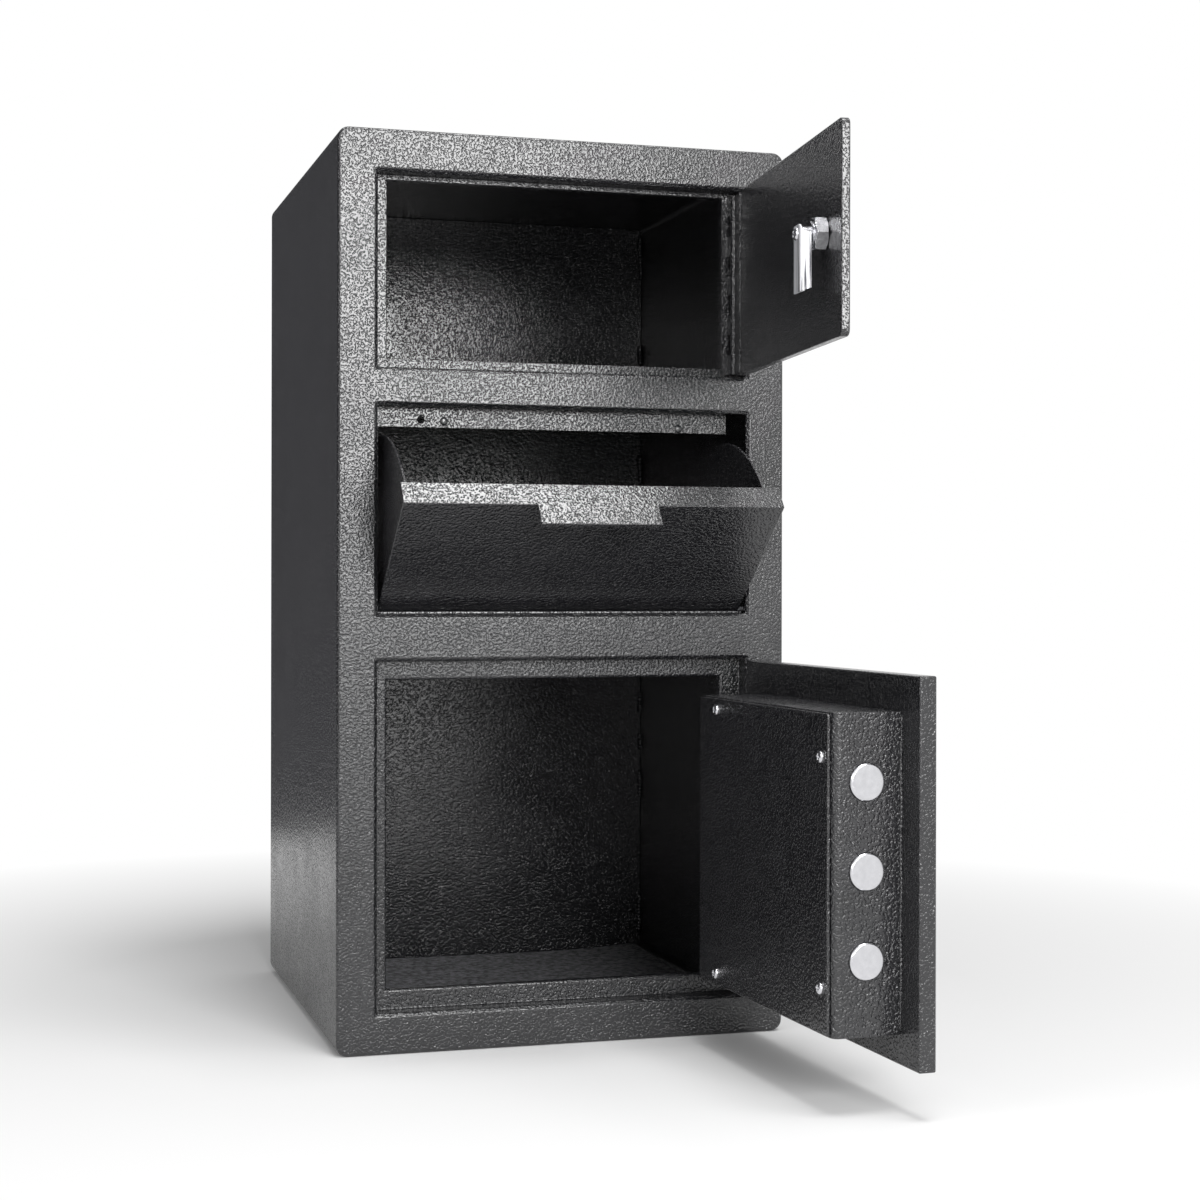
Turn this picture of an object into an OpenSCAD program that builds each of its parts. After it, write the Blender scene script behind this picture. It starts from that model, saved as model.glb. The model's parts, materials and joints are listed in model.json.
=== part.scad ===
// Front-loading drop safe: a keyed locker above, a tilting deposit hopper in the middle
// and a bolted vault below. Millimetres. X to the right, Y to the back, Z up.
// The origin is the centre of the base. Both doors and the hopper are drawn open.

/* [Body] */
// Width over the side walls
body_w = 358; // [320:1:440]
// Height over the top and bottom
body_h = 700; // [660:1:860]
// Depth from the front face to the back face, doors left out
body_d = 368; // [300:1:460]
// Thickness of the body sheet
wall = 3; // [2:0.5:4]
// Thickness of the front plate
frame_t = 3; // [2.5:0.5:3]
// Outside corner radius of the body, seen from the front
corner_r = 9; // [6:1:14]
// Rounding of the front edges
edge_r = 2.5; // [1.5:0.5:2.5]

/* [Front openings] */
// Width of the front plate beside the openings
stile_w = 31; // [28:1:40]
// Front plate below the vault opening
bottom_rail = 31; // [26:1:40]
// Front plate between the vault and hopper openings
lower_rail = 36; // [32:1:44]
// Height of the hopper opening
hopper_open_h = 158; // [154:1:170]
// Front plate between the hopper and locker openings
upper_rail = 29; // [26:1:36]
// Height of the locker opening
locker_open_h = 148; // [118:1:178]
// Front plate above the locker opening
top_rail = 32; // [26:1:40]

/* [Door stops] */
// Depth of the stop ledge behind the front face
stop_depth = 16; // [15:0.5:20]
// Thickness of the stop sheet
stop_t = 2; // [1.5:0.5:2]
// Depth of the lip turned back from the ledge
stop_lip = 5; // [3:0.5:6]
// Vault ledge on the bolt side
vault_ledge_bolt = 10; // [8:0.5:12]
// Vault ledge on the hinge side
vault_ledge_hinge = 17; // [12:0.5:18]
// Vault ledge at the top
vault_ledge_top = 14.5; // [8:0.5:18]
// Vault ledge at the bottom
vault_ledge_bottom = 15; // [8:0.5:18]
// Locker ledge on the lock side
locker_ledge_lock = 9.5; // [8:0.5:12]
// Locker ledge on the hinge side
locker_ledge_hinge = 16; // [15:0.5:18]
// Locker ledge at the top
locker_ledge_top = 4; // [3:0.5:10]
// Locker ledge at the bottom
locker_ledge_bottom = 8; // [4:0.5:12]

/* [Locker door] */
// Opening angle of the locker door as drawn
locker_open = 84; // [0:1:95]
// Thickness of the locker door plate
locker_door_t = 6.3; // [5:0.1:7.6]
// Gap round the free edges of the locker door
locker_gap = 1.2; // [1:0.1:2]
// How far the locker door sits behind the front face
locker_recess = 0.5; // [0:0.1:1]
// Radius of the free corners of the locker door
locker_corner_r = 5; // [2:0.5:8]
// Radius of a piano hinge knuckle
knuckle_r = 2.8; // [2.4:0.1:3]
// Radius of the piano hinge pin
hinge_pin_r = 1.4; // [1:0.1:1.5]
// Length of one piano hinge knuckle, about
knuckle_len = 15.5; // [12:0.5:20]
// Thickness of the piano hinge leaves
leaf_t = 1.2; // [0.8:0.1:1.2]

/* [Locker lock] */
// Distance of the lock from the free edge of the locker door
lock_inset = 38; // [36:1:60]
// Radius of the lock barrel in the door
barrel_r = 9; // [8:0.5:9.5]
// Radius of the round flange on the outside
barrel_flange_r = 11.5; // [10:0.5:14]
// Size of the nut over its corners
nut_across = 25; // [22:0.5:28]
// Thickness of the nut
nut_t = 9.5; // [6:0.5:10]
// Radius of the key plug
plug_r = 5.5; // [4:0.5:6]
// Reach of the cam from the lock centre
cam_len = 40; // [36:1:40]
// Width of the folded cam
cam_w = 17.5; // [14:0.5:18]
// Depth of the folded cam
cam_depth = 8; // [5:0.5:8]
// Sheet thickness of the cam
cam_t = 1.5; // [1:0.1:2]

/* [Hopper] */
// Opening angle of the hopper as drawn
hopper_open = 52; // [0:1:52]
// Height of the hopper front above its pivot
hopper_front_h = 134; // [124:1:135]
// Radius of the hopper side plates
hopper_side_r = 133.5; // [125:0.5:134]
// Angle between the hopper front and the hopper tray
hopper_angle = 115; // [105:1:118]
// Sheet thickness of the hopper
hopper_t = 2; // [1.5:0.5:2.5]
// Width of the lip along the top of the hopper front
hopper_lip_w = 20; // [14:1:24]
// Width of the pull tab
tab_w = 93; // [70:1:140]
// How far the pull tab stands out of the hopper front
tab_out = 18; // [14:1:20]
// Height of the turned-down edge of the pull tab
tab_drop = 4.5; // [3:0.5:8]
// Gap between the hopper front and the side of its opening
hopper_gap = 2; // [1.5:0.5:4]
// Distance of the left side plate from the end of the hopper front
side_inset_left = 3; // [2:1:10]
// Distance of the right side plate from the end of the hopper front
side_inset_right = 11; // [2:1:16]
// Radius of the hopper pivot rod
rod_r = 3; // [2.5:0.1:3.4]
// Depth of the pivot behind the front face
pivot_depth = 21.4; // [20:0.1:24]
// Height of the pivot above the bottom edge of the hopper opening
pivot_rise = 2.6; // [2:0.1:4]

/* [Vault door] */
// Opening angle of the vault door as drawn
vault_open = 92.5; // [0:0.5:95]
// Thickness of the vault door plate
vault_door_t = 12.7; // [10:0.1:14]
// Gap round the vault door
vault_gap = 1.3; // [1:0.1:2]
// Distance of the hinge axis from the edge of the vault opening
hinge_out = 5.9; // [5.6:0.1:6.5]
// Depth of the hinge axis behind the front face
hinge_depth = 5.9; // [5.6:0.1:6.2]
// Radius of the hinge lugs
lug_r = 4.9; // [4.5:0.1:5]
// Height of one hinge lug
lug_h = 18; // [14:1:30]
// Distance of each hinge lug from the end of the vault door
lug_inset = 28; // [20:1:50]
// Radius of the hinge pins
vault_pin_r = 2.5; // [2:0.1:2.5]
// Height of one hinge ear behind the front plate
ear_h = 6; // [4:0.5:10]

/* [Bolt work] */
// Depth of the bolt box behind the vault door
box_depth = 50.5; // [48:0.5:52]
// Sheet thickness of the bolt box
box_t = 2; // [1.5:0.5:2.5]
// Thickness of the bolt box cover
cover_t = 2.5; // [2:0.5:3]
// Distance of the bolt box from the free edge of the vault door
box_inset_bolt = 26.2; // [24:0.1:30]
// Distance of the bolt box from the hinge edge of the vault door
box_inset_hinge = 33; // [28:1:50]
// Distance of the bolt box from the bottom edge of the vault door
box_inset_bottom = 20.8; // [16:0.1:30]
// Distance of the bolt box from the top edge of the vault door
box_inset_top = 24.8; // [18:0.1:30]
// Outside radius of the bolt box edges
box_r = 6; // [4:0.5:8]
// Radius of a locking bolt
bolt_r = 12.7; // [10:0.1:12.7]
// Distance between the locking bolts
bolt_pitch = 60; // [48:1:64]
// Gap between the lips of the stop frame and the locking bolts
bolt_gap = 3; // [1:0.5:5]
// How far a drawn-back bolt stands out of the box
bolt_show = 2.5; // [1:0.5:4]
// Radius of the crank that moves the bolts
crank_r = 18; // [14:0.5:18]
// Half of the turn of the knob
half_turn = 40; // [30:1:42]

/* [Keypad and knob] */
// Radius of the door knob
knob_r = 19; // [14:1:24]
// Length of the door knob
knob_len = 24; // [16:1:30]
// Radius of the knob spindle
spindle_r = 5; // [4:0.5:6]
// Width of the keypad housing
keypad_w = 74; // [60:1:100]
// Height of the keypad housing
keypad_h = 92; // [80:1:110]
// Depth of the keypad housing
keypad_d = 14; // [10:1:20]

/* [Floor] */
// Thickness of the floor mat
mat_t = 4; // [3:0.5:6]
// Radius of the anchor holes in the floor
anchor_r = 6; // [5:0.5:8]
// Distance between the anchor holes, side to side
anchor_x = 220; // [160:5:240]
// Distance between the anchor holes, front to back
anchor_y = 200; // [140:5:240]

/* [Hidden] */
$fn = 64;
fit = 0.05;          // radial play of a shaft in its hole
loose = 0.3;         // gap between pieces that pass each other
cut = 1;             // overrun of a cutting solid
front_y = -body_d / 2;
back_y = body_d / 2;
inner_x = body_w / 2 - wall;
plate_back = front_y + frame_t;
open_x = body_w / 2 - stile_w;

vault_z0 = bottom_rail;
locker_z1 = body_h - top_rail;
locker_z0 = locker_z1 - locker_open_h;
hopper_z1 = locker_z0 - upper_rail;
hopper_z0 = hopper_z1 - hopper_open_h;
vault_z1 = hopper_z0 - lower_rail;
stop_y = front_y + stop_depth;
shelf_drop = 5;       // locker floor below the edge of its opening
shelf_top = locker_z0 - shelf_drop;
ledge_back = stop_y + stop_t;
opening_r = 1.5;      // corner radius of the front openings

// Locker door, closed position
ldoor_y0 = front_y + locker_recess;
ldoor_y1 = ldoor_y0 + locker_door_t;
hinge_set = 1;       // hinge axis behind the inner face of the locker door
hinge_over = 3;      // locker door beyond the hinge axis
laxis_y = ldoor_y1 + hinge_set;
laxis_x = open_x - norm([hinge_over, hinge_set + locker_door_t]) - loose;
ldoor_x0 = -open_x + locker_gap + loose;
ldoor_x1 = laxis_x + hinge_over;
ldoor_z0 = locker_z0 + locker_gap;
ldoor_z1 = locker_z1 - locker_gap;
hinge_short = 2;     // hinge shorter than the door at each end
lhinge_z0 = ldoor_z0 + hinge_short;
lhinge_z1 = ldoor_z1 - hinge_short;
knuckle_n = 2 * floor((lhinge_z1 - lhinge_z0) / knuckle_len / 2) + 1;
knuckle_h = (lhinge_z1 - lhinge_z0) / knuckle_n;
lock_x = ldoor_x0 + lock_inset;
lock_z = (ldoor_z0 + ldoor_z1) / 2;
flange_t = 2;        // flange of the lock barrel on the outside
barrel_over = 1.5;   // lock barrel beyond its nut
barrel_end = ldoor_y1 + nut_t + barrel_over;
barrel_gap = 1;      // cam behind the end of the lock barrel
cam_gap = 0.8;       // cam behind the stop ledge
cam_y0 = max(barrel_end + barrel_gap, ledge_back + cam_gap);
cam_y1 = cam_y0 + cam_depth;
cam_screw_r = 2;
screw_n = 4;         // screws in the locker hinge
leaf_x0 = open_x - locker_ledge_hinge + loose;
leaf_x1 = laxis_x - knuckle_r + leaf_t;
leaf_hole_x = leaf_x0 + 2.2;
leaf_step = (lhinge_z1 - lhinge_z0) / screw_n;
leaf_screw_r = 0.9;

// Hopper, closed position
pivot_y = front_y + pivot_depth;
pivot_z = hopper_z0 + pivot_rise;
bend_r0 = rod_r + loose;
bend_r1 = bend_r0 + hopper_t;
hopper_x = open_x - hopper_gap;
side_x0 = -hopper_x + side_inset_left;
side_x1 = hopper_x - side_inset_right;
lip_z0 = hopper_front_h - hopper_t;
far = 4 * hopper_side_r;     // larger than anything on the hopper
bracket_x = open_x + 3;
bracket_t = 3;
bracket_half = 14;           // half of a pivot bracket, up, down and back from the rod
rod_end = bracket_x + bracket_t + 3;
header_gap = 4.9;            // header strip above the swing of the hopper
header_z = pivot_z + max(norm([hopper_lip_w, hopper_front_h]), hopper_side_r) + header_gap;
header_top = hopper_z1 + 11;
header_x1 = side_x1 + 1;
header_hole = [side_x0 + 31, header_z + 5.7];
header_hole_r = 3;
rivet_at = [[side_x0 + 49, header_z + 4.9], [side_x1 - 39, header_z + 3.2]];
rivet_r = 1.9;

// Vault door, closed position
vdoor_y1 = front_y + vault_door_t;
vaxis_x = open_x + hinge_out;
vaxis_y = front_y + hinge_depth;
swing_gap = 0.2;     // extra gap on the bolt side for the swing of the door
vdoor_x0 = -open_x + vault_gap + swing_gap;
vdoor_x1 = open_x - vault_gap;
vdoor_z0 = vault_z0 + vault_gap;
vdoor_z1 = vault_z1 - vault_gap;
lug_z = [vdoor_z0 + lug_inset, vdoor_z1 - lug_inset - lug_h];
lug_end_gap = 0.5;   // notch above and below a hinge lug
lug_side_gap = 1.2;  // notch beside a hinge lug
box_x0 = vdoor_x0 + box_inset_bolt;
box_x1 = vdoor_x1 - box_inset_hinge;
box_z0 = vdoor_z0 + box_inset_bottom;
box_z1 = vdoor_z1 - box_inset_top;
box_y1 = vdoor_y1 + box_depth;
cover_gap = 4;       // strip of the bolt box beside its cover
cover_inset = 1;     // cover inside the other edges of the bolt box
box_flange = 8;      // flange turned in round the open back of the bolt box
bolt_z = (vdoor_z0 + vdoor_z1) / 2;
bolt_y = ledge_back + stop_lip + bolt_gap + bolt_r;
bolt_tip = box_x0 - bolt_show;
bolt_fit = 0.1;      // radial play of a bolt in the box and the guide
carrier_t = 6;
carrier_over = 12;   // bolt carrier beyond the outer bolt axes
hub_room = 18;       // room between the bolt carrier and the sweep of the crank
spindle_x = box_x0 + 100;
carrier_x = spindle_x - crank_r - hub_room - carrier_t;
bolt_len = carrier_x - bolt_tip;
crank_t = 3;
crank_pin_r = 3;
pin_z = crank_r * cos(half_turn);
slot_play = 0.6;     // play of the crank pin in its slot
arm_t = 3;
arm_gap = 2;         // slotted arm behind the crank
crank_y = bolt_y - 8 - crank_t;
arm_y = crank_y + crank_t + arm_gap;
guide_x = box_x0 + 30;
guide_t = 3;
post_r = 3.4;
screw_r = 1.85;
screw_side_bolt = 14.5;      // cover screws from the bolt side of the box
screw_side_hinge = 34.5;     // cover screws from the hinge side of the box
screw_end = 9.5;             // hinge-side cover screws from the ends of the box
post_gap_top = 0.5;          // upper post clear of the top bolt
post_gap_bottom = 2.8;       // lower post clear of the bottom bolt
// Centres of the four cover screws, [x, z]
screw_at = [[box_x1 - screw_side_hinge, box_z1 - screw_end],
            [box_x1 - screw_side_hinge, box_z0 + screw_end],
            [box_x0 + screw_side_bolt, bolt_z + bolt_pitch + bolt_r + post_r + post_gap_top],
            [box_x0 + screw_side_bolt, bolt_z - bolt_pitch - bolt_r - post_r - post_gap_bottom]];
knob_root = 3;               // collar between the knob and the door
knob_socket = 6;             // outer end of the knob that the spindle doesn't reach
keypad_gap = 14;             // keypad beside the knob
keypad_x = spindle_x + knob_r + keypad_gap + keypad_w / 2;
keypad_rim = 6;
keypad_corner_r = 8;

// A block between two corners
module block(x, y, z) {
    translate([x[0], y[0], z[0]]) cube([x[1] - x[0], y[1] - y[0], z[1] - z[0]]);
}

// A flat outline in X and Z, made t thick from y towards the back
module upright(y, t) {
    translate([0, y + t, 0]) rotate([90, 0, 0]) linear_extrude(t) children();
}

// A bar round along Y, from y over a length t
module round_y(x, y, z, r, t) {
    translate([x, y + t, z]) rotate([90, 0, 0]) cylinder(h = t, r = r);
}

// A bar round along X, from x over a length t
module round_x(x, y, z, r, t) {
    translate([x, y, z]) rotate([0, 90, 0]) cylinder(h = t, r = r);
}

// A rectangle from one corner to the other with round corners
module round_rect(a, b, r) {
    translate([a[0] + r, a[1]]) square([b[0] - a[0] - 2 * r, b[1] - a[1]]);
    translate([a[0], a[1] + r]) square([b[0] - a[0], b[1] - a[1] - 2 * r]);
    for (x = [a[0] + r, b[0] - r], z = [a[1] + r, b[1] - r]) translate([x, z]) circle(r);
}

// The body outline seen from the front, smaller all round by inset
module body_outline(inset) {
    round_rect([-body_w / 2 + inset, inset], [body_w / 2 - inset, body_h - inset],
        max(corner_r - inset, 1));
}

// Places a closed locker door piece at the drawn opening angle
module at_locker_door() {
    translate([laxis_x, laxis_y, 0]) rotate([0, 0, locker_open])
        translate([-laxis_x, -laxis_y, 0]) children();
}

// Places a closed vault door piece at the drawn opening angle
module at_vault_door() {
    translate([vaxis_x, vaxis_y, 0]) rotate([0, 0, vault_open])
        translate([-vaxis_x, -vaxis_y, 0]) children();
}

// Places a hopper piece, drawn round its pivot, at the drawn opening angle
module at_hopper() {
    translate([0, pivot_y, pivot_z]) rotate([hopper_open, 0, 0]) children();
}

// Wrap of the body: sides, top and bottom in one folded sheet
module body_shell() {
    color("#26262b") difference() {
        upright(plate_back, body_d - frame_t) body_outline(0);
        upright(plate_back - cut, body_d - frame_t + 2 * cut) body_outline(wall);
        for (x = [-1, 1], y = [-1, 1]) translate([x * anchor_x / 2, y * anchor_y / 2, -cut])
            cylinder(h = wall + 2 * cut, r = anchor_r);
    }
}

// Back sheet, set inside the wrap
module back_panel() {
    color("#26262b") upright(back_y - wall, wall) body_outline(wall);
}

// Cutter for one front opening with its bevelled edge
module front_opening(z0, z1) {
    thin = 0.1;
    upright(front_y - cut, frame_t + 2 * cut) round_rect([-open_x, z0], [open_x, z1], opening_r);
    hull() {
        upright(front_y - thin, thin) round_rect([-open_x - edge_r, z0 - edge_r],
            [open_x + edge_r, z1 + edge_r], 2 * opening_r);
        upright(front_y + edge_r - thin, thin)
            round_rect([-open_x, z0], [open_x, z1], opening_r);
    }
}

// Front plate with the three openings and the notches for the vault hinge lugs
module front_frame() {
    color("#26262b") difference() {
        hull() for (step = [0 : 3]) let (a = step * 30)
            upright(front_y + edge_r * (1 - sin(a)), frame_t - edge_r * (1 - sin(a)))
                body_outline(edge_r * (1 - cos(a)));
        front_opening(vault_z0, vault_z1);
        front_opening(hopper_z0, hopper_z1);
        front_opening(locker_z0, locker_z1);
        for (z = lug_z) block([open_x - cut, vaxis_x + lug_r + lug_side_gap],
            [front_y - cut, plate_back + cut], [z - lug_end_gap, z + lug_h + lug_end_gap]);
    }
}

// Folded ring behind one opening: reveal, ledge and the lips turned back from the ledge
module stop_frame(z0, z1, left, right, top, bottom, lip_left) {
    inner_x0 = -open_x + left;
    inner_x1 = open_x - right;
    inner_z0 = z0 + bottom;
    inner_z1 = z1 - top;
    difference() {
        block([-open_x - stop_t, open_x + stop_t], [plate_back, ledge_back],
            [z0 - stop_t, z1 + stop_t]);
        block([-open_x, open_x], [plate_back - cut, stop_y], [z0, z1]);
        block([inner_x0, inner_x1], [plate_back, ledge_back + cut], [inner_z0, inner_z1]);
    }
    block([inner_x0, inner_x1], [ledge_back - stop_t, ledge_back + stop_lip],
        [inner_z0 - stop_t, inner_z0]);
    block([inner_x0, inner_x1], [ledge_back - stop_t, ledge_back + stop_lip],
        [inner_z1, inner_z1 + stop_t]);
    block([inner_x1, inner_x1 + stop_t], [ledge_back - stop_t, ledge_back + stop_lip],
        [inner_z0 - stop_t, inner_z1 + stop_t]);
    if (lip_left) block([inner_x0 - stop_t, inner_x0], [ledge_back - stop_t, ledge_back + stop_lip],
        [inner_z0 - stop_t, inner_z1 + stop_t]);
}

// Stop frame of the vault, notched for the hinge lugs
module vault_stop_frame() {
    color("#202024") difference() {
        stop_frame(vault_z0, vault_z1, vault_ledge_bolt, vault_ledge_hinge, vault_ledge_top,
            vault_ledge_bottom, true);
        for (z = lug_z) block([open_x - cut, open_x + stop_t + cut],
            [plate_back - cut, vaxis_y + lug_r + lug_side_gap],
            [z - lug_end_gap, z + lug_h + lug_end_gap]);
    }
}

// Stop frame of the locker; the cam swings behind its left ledge, which has no lip
module locker_stop_frame() {
    color("#202024") stop_frame(locker_z0, locker_z1, locker_ledge_lock, locker_ledge_hinge,
        locker_ledge_top, locker_ledge_bottom, false);
}

// Shelf between the locker and the vault space
module locker_shelf() {
    color("#26262b") block([-inner_x, inner_x], [plate_back, back_y - wall],
        [shelf_top - wall, shelf_top]);
}

// Mat on the flat of the vault floor, pierced over the anchor holes
module floor_mat() {
    mat_x = body_w / 2 - corner_r;
    mat_gap = 1;
    hole_over = 3;
    color("#6f6f73") difference() {
        block([-mat_x, mat_x], [plate_back + mat_gap, back_y - wall - mat_gap], [wall, wall + mat_t]);
        for (x = [-1, 1], y = [-1, 1]) translate([x * anchor_x / 2, y * anchor_y / 2, wall - cut])
            cylinder(h = mat_t + 2 * cut, r = anchor_r + hole_over);
    }
}

// Strip across the top of the hopper opening, with a flange on the front plate
module hopper_header() {
    color("#26262b") difference() {
        union() {
            block([-open_x, header_x1], [stop_y, ledge_back], [header_z, header_top]);
            block([-open_x, header_x1], [plate_back, ledge_back], [header_top - stop_t, header_top]);
        }
        round_y(header_hole[0], stop_y - cut, header_hole[1], header_hole_r, stop_t + 2 * cut);
        for (p = rivet_at) round_y(p[0], stop_y - cut, p[1], rivet_r + fit, stop_t + 2 * cut);
    }
}

// Rivets through the header strip
module header_rivets() {
    head_r = 3.2;
    head_t = 1.3;
    color("#515158") for (p = rivet_at) {
        round_y(p[0], stop_y - head_t, p[1], head_r, head_t);
        round_y(p[0], stop_y - head_t / 2, p[1], rivet_r, stop_t + head_t);
        round_y(p[0], ledge_back, p[1], head_r, head_t);
    }
}

// Angle strip along the bottom of the hopper opening
module hopper_sill() {
    back = pivot_y - bend_r1 - 3.1;
    lip_t = 1.6;
    lip_h = 1.8;
    flange_h = 23;
    color("#26262b") {
        block([-open_x, open_x], [plate_back, back], [hopper_z0 - stop_t, hopper_z0]);
        block([-open_x, open_x], [back - lip_t, back], [hopper_z0 - stop_t / 2, hopper_z0 + lip_h]);
        block([-open_x, open_x], [plate_back, plate_back + stop_t],
            [hopper_z0 - flange_h, hopper_z0 - stop_t / 2]);
    }
}

// One angle bracket for the pivot rod, on the right
module hopper_bracket() {
    foot_w = 19;
    difference() {
        union() {
            block([bracket_x, bracket_x + bracket_t], [plate_back, pivot_y + bracket_half],
                [pivot_z - bracket_half, pivot_z + bracket_half]);
            block([bracket_x, bracket_x + foot_w], [plate_back, plate_back + bracket_t],
                [pivot_z - bracket_half, pivot_z + bracket_half]);
        }
        round_x(bracket_x - cut, pivot_y, pivot_z, rod_r + fit, bracket_t + 2 * cut);
    }
}

module hopper_brackets() {
    color("#202024") { hopper_bracket(); mirror([1, 0, 0]) hopper_bracket(); }
}

// Rod that the hopper tilts on
module hopper_rod() {
    color("#8c8c90") round_x(-rod_end, pivot_y, pivot_z, rod_r, 2 * rod_end);
}

// Ring clips that hold the rod in its brackets
module rod_clips() {
    clip_t = 1.2;
    clip_w = 3;
    clip_x = bracket_x + bracket_t + 0.2;
    color("#8c8c90") for (x = [-clip_x - clip_t, clip_x]) difference() {
        round_x(x, pivot_y, pivot_z, rod_r + clip_w, clip_t);
        round_x(x - cut, pivot_y, pivot_z, rod_r + fit, clip_t + 2 * cut);
    }
}

// Knuckles of the piano hinge: every second one, starting from first
module knuckles(first) {
    for (i = [first : 2 : knuckle_n - 1])
        translate([laxis_x, laxis_y, lhinge_z0 + i * knuckle_h + loose / 2])
            cylinder(h = knuckle_h - loose, r = knuckle_r);
}

module knuckle_bore() {
    translate([laxis_x, laxis_y, lhinge_z0 - cut])
        cylinder(h = lhinge_z1 - lhinge_z0 + 2 * cut, r = hinge_pin_r + fit);
}

// Leaf of the piano hinge on the ledge of the stop frame
module locker_hinge_frame_leaf() {
    color("#202024") difference() {
        union() {
            block([leaf_x0, leaf_x1], [stop_y - leaf_t, stop_y], [lhinge_z0, lhinge_z1]);
            for (i = [0 : 2 : knuckle_n - 1])
                block([leaf_x1 - leaf_t, leaf_x1], [laxis_y, stop_y - leaf_t / 2],
                    [lhinge_z0 + i * knuckle_h + loose / 2,
                     lhinge_z0 + (i + 1) * knuckle_h - loose / 2]);
            knuckles(0);
        }
        knuckle_bore();
        for (i = [0 : screw_n - 1])
            round_y(leaf_hole_x, stop_y - leaf_t - cut, lhinge_z0 + (i + 0.5) * leaf_step,
                leaf_screw_r + fit, leaf_t + 2 * cut);
    }
}

// Small screws that hold the frame leaf
module locker_hinge_screws() {
    head_t = 0.8;
    color("#9a9aa0") for (i = [0 : screw_n - 1]) {
        z = lhinge_z0 + (i + 0.5) * leaf_step;
        round_y(leaf_hole_x, stop_y - leaf_t - head_t, z, 2 * leaf_screw_r, head_t);
        round_y(leaf_hole_x, stop_y - leaf_t - head_t / 2, z, leaf_screw_r, leaf_t + head_t / 2);
    }
}

module locker_hinge_pin() {
    color("#9a9aa0") translate([laxis_x, laxis_y, lhinge_z0 + loose])
        cylinder(h = lhinge_z1 - lhinge_z0 - 2 * loose, r = hinge_pin_r);
}

// Ears behind the front plate, above and below each hinge lug
module vault_hinge_ears() {
    ear_x1 = vaxis_x + 9;
    ear_y1 = vaxis_y + 7;
    color("#202024") difference() {
        for (z = lug_z, side = [-ear_h - loose, lug_h + loose])
            block([open_x + stop_t, ear_x1], [plate_back, ear_y1], [z + side, z + side + ear_h]);
        for (z = lug_z) translate([vaxis_x, vaxis_y, z - ear_h - cut])
            cylinder(h = lug_h + 2 * ear_h + 2 * cut, r = vault_pin_r + fit);
    }
}

module vault_hinge_pins() {
    color("#9a9aa0") for (z = lug_z) translate([vaxis_x, vaxis_y, z - ear_h - loose])
        cylinder(h = lug_h + 2 * ear_h + 2 * loose, r = vault_pin_r);
}

// Locker door plate with the pocket for the piano hinge and the lock hole
module locker_door() {
    square_end = 40;
    pocket_x = laxis_x - knuckle_r - 2 * loose;
    pocket_y = laxis_y - knuckle_r - 0.4;
    color("#26262b") at_locker_door() difference() {
        upright(ldoor_y0, locker_door_t) {
            round_rect([ldoor_x0, ldoor_z0], [ldoor_x1 - square_end / 2, ldoor_z1], locker_corner_r);
            translate([ldoor_x1 - square_end, ldoor_z0]) square([square_end, ldoor_z1 - ldoor_z0]);
        }
        block([pocket_x, ldoor_x1 + cut], [pocket_y, ldoor_y1 + cut],
            [ldoor_z0 - cut, ldoor_z1 + cut]);
        round_y(lock_x, ldoor_y0 - cut, lock_z, barrel_r + fit, locker_door_t + 2 * cut);
    }
}

// Leaf of the piano hinge on the inner face of the locker door
module locker_hinge_door_leaf() {
    leaf_w = 18;
    edge = laxis_x - knuckle_r - 0.35;
    color("#202024") at_locker_door() difference() {
        union() {
            block([laxis_x - leaf_w, edge], [ldoor_y1, ldoor_y1 + leaf_t], [lhinge_z0, lhinge_z1]);
            for (i = [1 : 2 : knuckle_n - 1])
                block([edge - cut, laxis_x - knuckle_r / 2], [ldoor_y1, ldoor_y1 + leaf_t],
                    [lhinge_z0 + i * knuckle_h + loose / 2,
                     lhinge_z0 + (i + 1) * knuckle_h - loose / 2]);
            knuckles(1);
        }
        knuckle_bore();
    }
}

// Barrel of the cam lock with its outer flange
module lock_barrel() {
    color("#b9b9be") at_locker_door() difference() {
        union() {
            round_y(lock_x, ldoor_y0 - flange_t, lock_z, barrel_flange_r, flange_t);
            round_y(lock_x, ldoor_y0 - cut, lock_z, barrel_r, barrel_end - ldoor_y0 + cut);
        }
        round_y(lock_x, ldoor_y0 - flange_t - cut, lock_z, plug_r + fit,
            barrel_end - ldoor_y0 + flange_t + 2 * cut);
    }
}

// Six-sided nut behind the locker door
module lock_nut() {
    color("#d8d8dc") at_locker_door() difference() {
        translate([lock_x, ldoor_y1 + nut_t, lock_z]) rotate([90, 0, 0])
            cylinder(h = nut_t, r = nut_across / 2, $fn = 6);
        round_y(lock_x, ldoor_y1 - cut, lock_z, barrel_r + fit, nut_t + 2 * cut);
    }
}

// Key plug, with the key slot in front and a screw hole behind
module lock_plug() {
    plug_y0 = ldoor_y0 - flange_t - 0.6;
    key_t = 0.7;
    key_w = 3.5;
    key_depth = 5;
    screw_depth = 9;
    color("#d8d8dc") at_locker_door() difference() {
        round_y(lock_x, plug_y0, lock_z, plug_r, cam_y1 - cam_t - plug_y0);
        block([lock_x - key_t, lock_x + key_t], [plug_y0 - cut, plug_y0 + key_depth],
            [lock_z - key_w, lock_z + key_w]);
        round_y(lock_x, cam_y1 - cam_t - screw_depth, lock_z, cam_screw_r + fit, screw_depth + cut);
    }
}

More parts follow.
